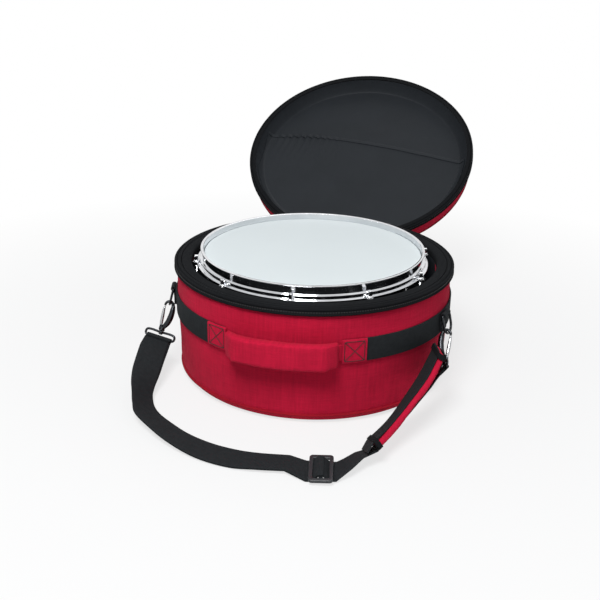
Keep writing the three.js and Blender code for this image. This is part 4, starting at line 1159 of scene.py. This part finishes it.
for side in side_angle:
    finished(copied(hook_master, f"hook_{side}_body", hook_frames[side]), f"hook_{side}", gunmetal,
        [f"snap_hook_{side}"], 40)
    finished(copied(gate_master, f"gate_{side}_finger", hook_frames[side]), f"gate_{side}", bright_steel,
        [f"hook_gate_{side}"], 40)
    finished(copied(loop_master, f"loop_{side}_wire", loop_frames[side]), "bag", gunmetal,
        [f"strap_loop_{side}"], 40)
for master in (hook_master, gate_master, loop_master):
    bpy.data.objects.remove(master)

# %% [markdown]
# ## The shoulder strap
# The webbing goes from the slider through the left hook's loop and back, so it is double there. It
# passes over the slider's middle bar, through the pad, and round the right hook's loop. Its route
# is a list of chosen places, with the way across it at each, and a smooth curve through them.

# %% The strap's places, in millimetres
left_run = [((-241, -117, 46), (-0.94, -0.2, 0.24)), ((-239, -140, 38), (-0.93, -0.32, 0.18)),
    ((-236.5, -160, 32), (-0.9, -0.38, 0.2)), ((-232.5, -181, 28), (-0.78, -0.54, 0.32)),
    ((-228, -203, 23), (-0.6, -0.68, 0.42)), ((-221, -225, 17.5), (-0.45, -0.75, 0.48)),
    ((-212, -245, 13.2), (-0.46, -0.76, 0.46)), ((-199, -265, 10.7), (-0.58, -0.72, 0.37)),
    ((-166, -293, 8.7), (-0.56, -0.77, 0.29)), ((-129, -318, 6.5), (-0.45, -0.86, 0.19)),
    ((-84, -337, 3.6), (-0.28, -0.96, 0.05)), ((-37, -346, 2.8), (-0.09, -0.99, 0.01)),
    ((-4, -346, 4), (0.04, -0.99, 0.07)), ((38, -341, 4.5), (0.05, -0.99, 0.09))]
to_pad = [((121, -329, 8.5), (0.42, -0.87, 0.24)), ((134, -309, 12.5), (0.4, -0.84, 0.37))]
pad_run = [((146, -288, 22), (0.3, -0.85, 0.42)), ((168, -243, 33), (0.25, -0.88, 0.4)),
    ((189, -203, 55), (0.27, -0.89, 0.36)), ((205.5, -170, 75), (0.3, -0.9, 0.3)),
    ((215.5, -143, 93), (0.26, -0.93, 0.22)), ((221, -124, 105), (0.22, -0.95, 0.16))]
from_pad = [((213, -160, 56), (0.27, -0.85, 0.42)), ((219, -140, 57), (0.25, -0.8, 0.5)),
    ((225, -124, 57), (0.22, -0.77, 0.58)), ((229.5, -113, 58), (0.21, -0.76, 0.61))]
slider_middle, slider_along = Vector((88, -350, 8.6)), Vector((0.98, 0.17, 0.02)).normalized()
slider_across = Vector((0.18, -0.98, -0.07))
slider_across = (slider_across - slider_along * slider_across.dot(slider_along)).normalized()
slider_up = slider_across.cross(slider_along)
slider_up = slider_up if slider_up.z > 0 else -slider_up
ply = 1.8


def smooth_curve(points, t):
    """A centripetal Catmull-Rom curve through the points, at t from 0 to 1."""
    points = [Vector(p) for p in points]
    points = [2 * points[0] - points[1]] + points + [2 * points[-1] - points[-2]]
    at = min(max(t, 0), 1) * (len(points) - 3)
    i = min(int(at), len(points) - 4)
    k = at - i
    p0, p1, p2, p3 = points[i : i + 4]
    d0, d1, d2 = [max((b - a).length ** 0.5, 1e-4) for a, b in ((p0, p1), (p1, p2), (p2, p3))]
    m1 = ((p1 - p0) / d0 - (p2 - p0) / (d0 + d1) + (p2 - p1) / d1) * d1
    m2 = ((p2 - p1) / d1 - (p3 - p1) / (d1 + d2) + (p3 - p2) / d2) * d1
    return p1 + m1 * k + (-3 * p1 + 3 * p2 - 2 * m1 - m2) * k**2 + (2 * p1 - 2 * p2 + m1 + m2) * k**3


def run(places, steps):
    """Smooth places through chosen ones, as (middle, across)."""
    return [(smooth_curve([p for p, _ in places], i / steps),
        smooth_curve([w for _, w in places], i / steps).normalized()) for i in range(steps + 1)]


def with_normals(places):
    """Adds the webbing's normal to each (middle, across)."""
    result = []
    for i, (middle, across) in enumerate(places):
        heading = (places[min(i + 1, len(places) - 1)][0] - places[max(i - 1, 0)][0]).normalized()
        result.append((middle, across, across.cross(heading).normalized()))
    return result


def in_metres(places):
    return [(middle / 1000, across, normal) for middle, across, normal in places]


def pad_places(steps):
    places = []
    for middle, across, normal in with_normals(run(pad_run, steps)):
        places.append((middle, across, normal if normal.x > 0 else -normal))
    return places


# %% The webbing
def loop_bar(side):
    matrix = loop_frames[side]
    turn = matrix.to_3x3()
    return ((matrix @ Vector((0, 0, -0.010))) * 1000, turn @ Vector((1, 0, 0)),
        -(turn @ Vector((0, 0, 1))))


def wave(double):
    level = [(-21, -4.3), (-16, -4.5), (-12.6, -4.3), (-8, -0.2), (-3.6, 4.2), (0, 4.7), (3.6, 4.2),
        (8, 0.0), (12.6, -4.3), (16, -4.5), (21, -4.3)]
    kept = [p for p in level if p[0] <= 3.7] if double else level
    return [(slider_middle + slider_along * t + slider_up * n, slider_across) for t, n in kept]


left_bar, left_axis, left_down = loop_bar("left")
right_bar, right_axis, right_down = loop_bar("right")
near_left = run(left_run, 60)
inner_side = with_normals([(left_bar + left_down * 4.2, left_axis)] + near_left + wave(True))
under_pad = [(m + n * (10.6 + ply / 2 if i == 0 else 5.5 + i * 0.9), a)
    for i, (m, a, n) in enumerate(pad_places(12)[:6])]
outer_side = with_normals([(left_bar + left_down * 4.2, left_axis)] + near_left + wave(False)
    + run(to_pad, 4) + under_pad + run(from_pad, 16) + [(right_bar + right_down * 4.2, right_axis)])


def round_bar(bar, axis, down, first, steps=9):
    """The fold of webbing over a loop's lower bar, starting on the side that first points to."""
    flat = (first - axis * first.dot(axis) - down * first.dot(down)).normalized()
    return [(bar + flat * 3.4 * math.cos(a) - down * 3.4 * math.sin(a), axis)
        for a in np.linspace(0, math.pi, steps)]


split = len(near_left) + 1
half_gap = 0.98
second = [(m + n * half_gap + a * (3.2 * (1 - i / len(inner_side)) ** 2), a)
    for i, (m, a, n) in enumerate(inner_side)]
main = [(m - n * (half_gap if i < split + 6 else half_gap * max(0.0, 1 - (i - split - 6) / 3)), a)
    for i, (m, a, n) in enumerate(outer_side)]
fold = round_bar(left_bar, left_axis, left_down, inner_side[0][2])
stub = round_bar(right_bar, right_axis, right_down, -outer_side[-1][2])
end_normal = outer_side[-1][2]
tail = [(m + end_normal * 1.9, a) for m, a, _ in reversed(outer_side[-9:-1])]
whole = list(reversed(second)) + fold + main
strap = strip("shoulder_strap", in_metres(with_normals(whole)), webbing_width, ply / 1000, 10)
finished(strap, "bag", webbing, ["strap_webbing"], 60)
last_bit = [(m - n * 0.2, a) for m, a, n in outer_side[-2:]]
stub_strap = strip("strap_end_fold", in_metres(with_normals(last_bit + stub + tail)), webbing_width,
    ply / 1000, 10)
finished(stub_strap, "bag", webbing, (), 60)
strap_length = sum((b[0] - a[0]).length for a, b in zip(whole, whole[1:])) / 1000
print("webbing", round(strap_length, 3), "m")

# %% [markdown]
# The slider is a moulded plate with two slots. A grid of fifteen cells gives it: the two cells of
# the slots are deleted, the corners rounded, and then it gets thickness and soft edges.

# %% Slider
deselect()
bpy.ops.mesh.primitive_grid_add(x_subdivisions=5, y_subdivisions=3, size=1)
slider = named("three_bar_slider")
cuts_x, cuts_y = [-0.017, -0.0112, -0.003, 0.003, 0.0112, 0.017], [-0.030, -0.0226, 0.0226, 0.030]
reshape(slider, lambda p: Vector((cuts_x[round((p.x + 0.5) * 5)], cuts_y[round((p.y + 0.5) * 3)], 0)))
bpy.ops.object.mode_set(mode="EDIT")
bpy.ops.mesh.select_mode(type="FACE")
bpy.ops.mesh.select_all(action="DESELECT")
bpy.ops.object.mode_set(mode="OBJECT")
for face in slider.data.polygons:
    face.select = abs(face.center.y) < 0.01 and 0.004 < abs(face.center.x) < 0.012
bpy.ops.object.mode_set(mode="EDIT")
bpy.ops.mesh.delete(type="FACE")
bpy.ops.mesh.select_mode(type="VERT")
bpy.ops.mesh.select_all(action="DESELECT")
bpy.ops.object.mode_set(mode="OBJECT")
for vertex in slider.data.vertices:
    vertex.select = abs(vertex.co.x) > 0.0165 and abs(vertex.co.y) > 0.029
bpy.ops.object.mode_set(mode="EDIT")
bpy.ops.mesh.bevel(offset=0.005, segments=5, affect="VERTICES")
bpy.ops.object.mode_set(mode="OBJECT")
modified(slider, "SOLIDIFY", thickness=0.0052, offset=0)
modified(slider, "BEVEL", width=0.0020, segments=4, limit_method="ANGLE")
across = slider_across if slider_along.cross(slider_across).dot(slider_up) > 0 else -slider_across
turn = Matrix((slider_along, across, slider_up)).transposed().to_4x4()
placed(slider, Matrix.Translation(slider_middle / 1000) @ turn)
finished(slider, "bag", moulding, ["strap_slider"], 40)

# %% [markdown]
# ## The shoulder pad
# The pad is a sleeve of foam, red on its outer side and black on the side that lies on the
# shoulder. It starts as a bevelled box along the strap's route and is blown up a little by the
# cloth simulation. A black strip covers its inner side, and a band goes round each end.

# %% Pad
pad_line = pad_places(48)
pad_lengths = [0.0]
for (a, _, _), (b, _, _) in zip(pad_line, pad_line[1:]):
    pad_lengths.append(pad_lengths[-1] + (b - a).length)
pad_length = pad_lengths[-1] / 1000


def on_pad(p):
    """From a flat pad along X to its lie beside the bag."""
    at = min(max(p.x * 1000, 0.0), pad_lengths[-1])
    i = min(max(k for k, s in enumerate(pad_lengths) if s <= at), len(pad_line) - 2)
    t = (at - pad_lengths[i]) / (pad_lengths[i + 1] - pad_lengths[i])
    middle, across, normal = [a.lerp(b, t) for a, b in zip(pad_line[i], pad_line[i + 1])]
    extra = p.x - at / 1000
    heading = (pad_line[i + 1][0] - pad_line[i][0]).normalized()
    return middle / 1000 + across.normalized() * p.y + normal.normalized() * p.z + heading * extra


pad = cube("pad_flat", (0.002, -0.0275, 0.0012), (pad_length - 0.002, 0.0275, 0.0088), 0.0028, 3)
edited(bpy.ops.mesh.subdivide, number_cuts=11)
reshape(pad, on_pad)
pad = named("padded_sleeve")
puffed(pad, 0.0025, 3.0, 0.0016)
modified(pad, "SMOOTH", factor=0.5, iterations=3)
finished(pad, "bag", red_cloth, ["shoulder_pad"], 60)

lower_heading = (pad_line[0][0] - pad_line[1][0]).normalized() / 1000
face_places = [(pad_line[0][0] / 1000 + lower_heading * d + pad_line[0][2] * (-0.0014 + 0.00025 * d),
    pad_line[0][1], pad_line[0][2]) for d in (17, 12, 8, 4, 1)]
face_places += [(pad_line[k][0] / 1000 - pad_line[k][2] * 0.0014, pad_line[k][1], pad_line[k][2])
    for k in range(0, 49)]
finished(strip("pad_inner_face", face_places, 0.0475, 0.0014, 12), "bag", webbing, (), 60)


def pad_binding(name, at):
    """A band of webbing that goes round the pad, at a distance from its lower end."""
    loop = [(-0.0308, 0.0040), (-0.0296, -0.0014), (-0.020, -0.0030), (0.0, -0.0031), (0.020, -0.0030),
        (0.0296, -0.0014), (0.0310, 0.0040), (0.0296, 0.0096), (0.018, 0.0108), (-0.018, 0.0108),
        (-0.0296, 0.0096), (-0.0308, 0.0040)]
    route = [smooth_curve([Vector((0, y, z)) for y, z in loop], t) for t in np.linspace(0, 1, 60)]
    points = [on_pad(Vector((at, p.y, p.z))) for p in route]
    along = (on_pad(Vector((at + 0.004, 0, 0))) - on_pad(Vector((at - 0.004, 0, 0)))).normalized()
    places = [(point, along, Vector()) for point in points]
    return finished(strip(name, places, 0.009, 0.0010, 4, False), "bag", black_cloth, (), 60)


pad_binding("pad_band_lower", 0.007)
pad_binding("pad_band_upper", pad_length - 0.007)

# %% [markdown]
# ## Zip sliders
# Two sliders run round the rim. They are parked at the back while the bag is open. Each is a
# bevelled body with a bridge and a pull that hangs from it.

# %% Zip sliders and pulls
outside = rim_radius + 0.0003
for side, sign in (("left", -1), ("right", 1)):
    runner = cube("runner", (-0.005, -outside - 0.0048, rim_top - 0.0084),
        (0.005, -outside, rim_top - 0.0002), 0.0016, 3)
    bridge = wire("bridge", [Vector((0, -outside - 0.0040, rim_top - 0.0020)),
        Vector((0, -outside - 0.0066, rim_top - 0.0026)), Vector((0, -outside - 0.0066, rim_top - 0.0064)),
        Vector((0, -outside - 0.0040, rim_top - 0.0068))], 0.0009)
    eye = wire("eye", [Vector((0.0028 * math.cos(a), -outside - 0.0067,
        rim_top - 0.0086 + 0.0036 * math.sin(a))) for a in np.linspace(0, 2 * math.pi, 12, endpoint=False)],
        0.0007, True)
    pull = cube("pull", (-0.0033, -outside - 0.0074, rim_top - 0.0358),
        (0.0033, -outside - 0.0060, rim_top - 0.0122), 0.0006, 2)
    knob = placed(rod("knob", 0.0033, -0.0009, 0.0009, 0.0004, 24),
        Matrix.Translation((0, -outside - 0.0067, rim_top - 0.0325)) @ Matrix.Rotation(math.pi / 2, 4, "X"))
    piece = placed(joined([runner, bridge, eye, pull, knob], f"zip_runner_{side}"), round_side(sign * 156))
    finished(piece, f"zip_{side}", gunmetal, [f"zip_slider_{side}"], 40)

# %% [markdown]
# ## The floor
# A pale floor under everything takes the shadow. Where the camera sees it, or metal mirrors it,
# most of its colour is plain white, and all of it further away, so that no horizon shows.

# %% Floor
deselect()
bpy.ops.mesh.primitive_plane_add(size=12, location=(0, 0, -0.0004))
floor = named("floor")
bpy.ops.object.transform_apply(location=True)
ground = bpy.data.materials.new("pale_floor")
ground.use_nodes = True
nodes, links = ground.node_tree.nodes, ground.node_tree.links
nodes.clear()
matt, bright = nodes.new("ShaderNodeBsdfDiffuse"), nodes.new("ShaderNodeEmission")
either = nodes.new("ShaderNodeMixShader")
matt.inputs["Color"].default_value = (0.70, 0.705, 0.71, 1)
bright.inputs["Color"].default_value = (1, 1, 1, 1)
spot, reach_out = nodes.new("ShaderNodeTexCoord"), nodes.new("ShaderNodeVectorMath")
share, cast = nodes.new("ShaderNodeMapRange"), nodes.new("ShaderNodeMath")
reach_out.operation = "LENGTH"
links.new(spot.outputs["Object"], reach_out.inputs[0])
links.new(reach_out.outputs["Value"], share.inputs["Value"])
share.inputs["From Min"].default_value, share.inputs["From Max"].default_value = 0.35, 1.1
share.inputs["To Min"].default_value, share.inputs["To Max"].default_value = 0.72, 1.0
cast.operation = "MULTIPLY"
links.new(seen_rays(nodes, links), cast.inputs[0])
links.new(share.outputs[0], cast.inputs[1])
links.new(cast.outputs[0], either.inputs["Fac"])
links.new(matt.outputs[0], either.inputs[1])
links.new(bright.outputs[0], either.inputs[2])
links.new(either.outputs[0], nodes.new("ShaderNodeOutputMaterial").inputs["Surface"])
floor.data.materials.append(ground)
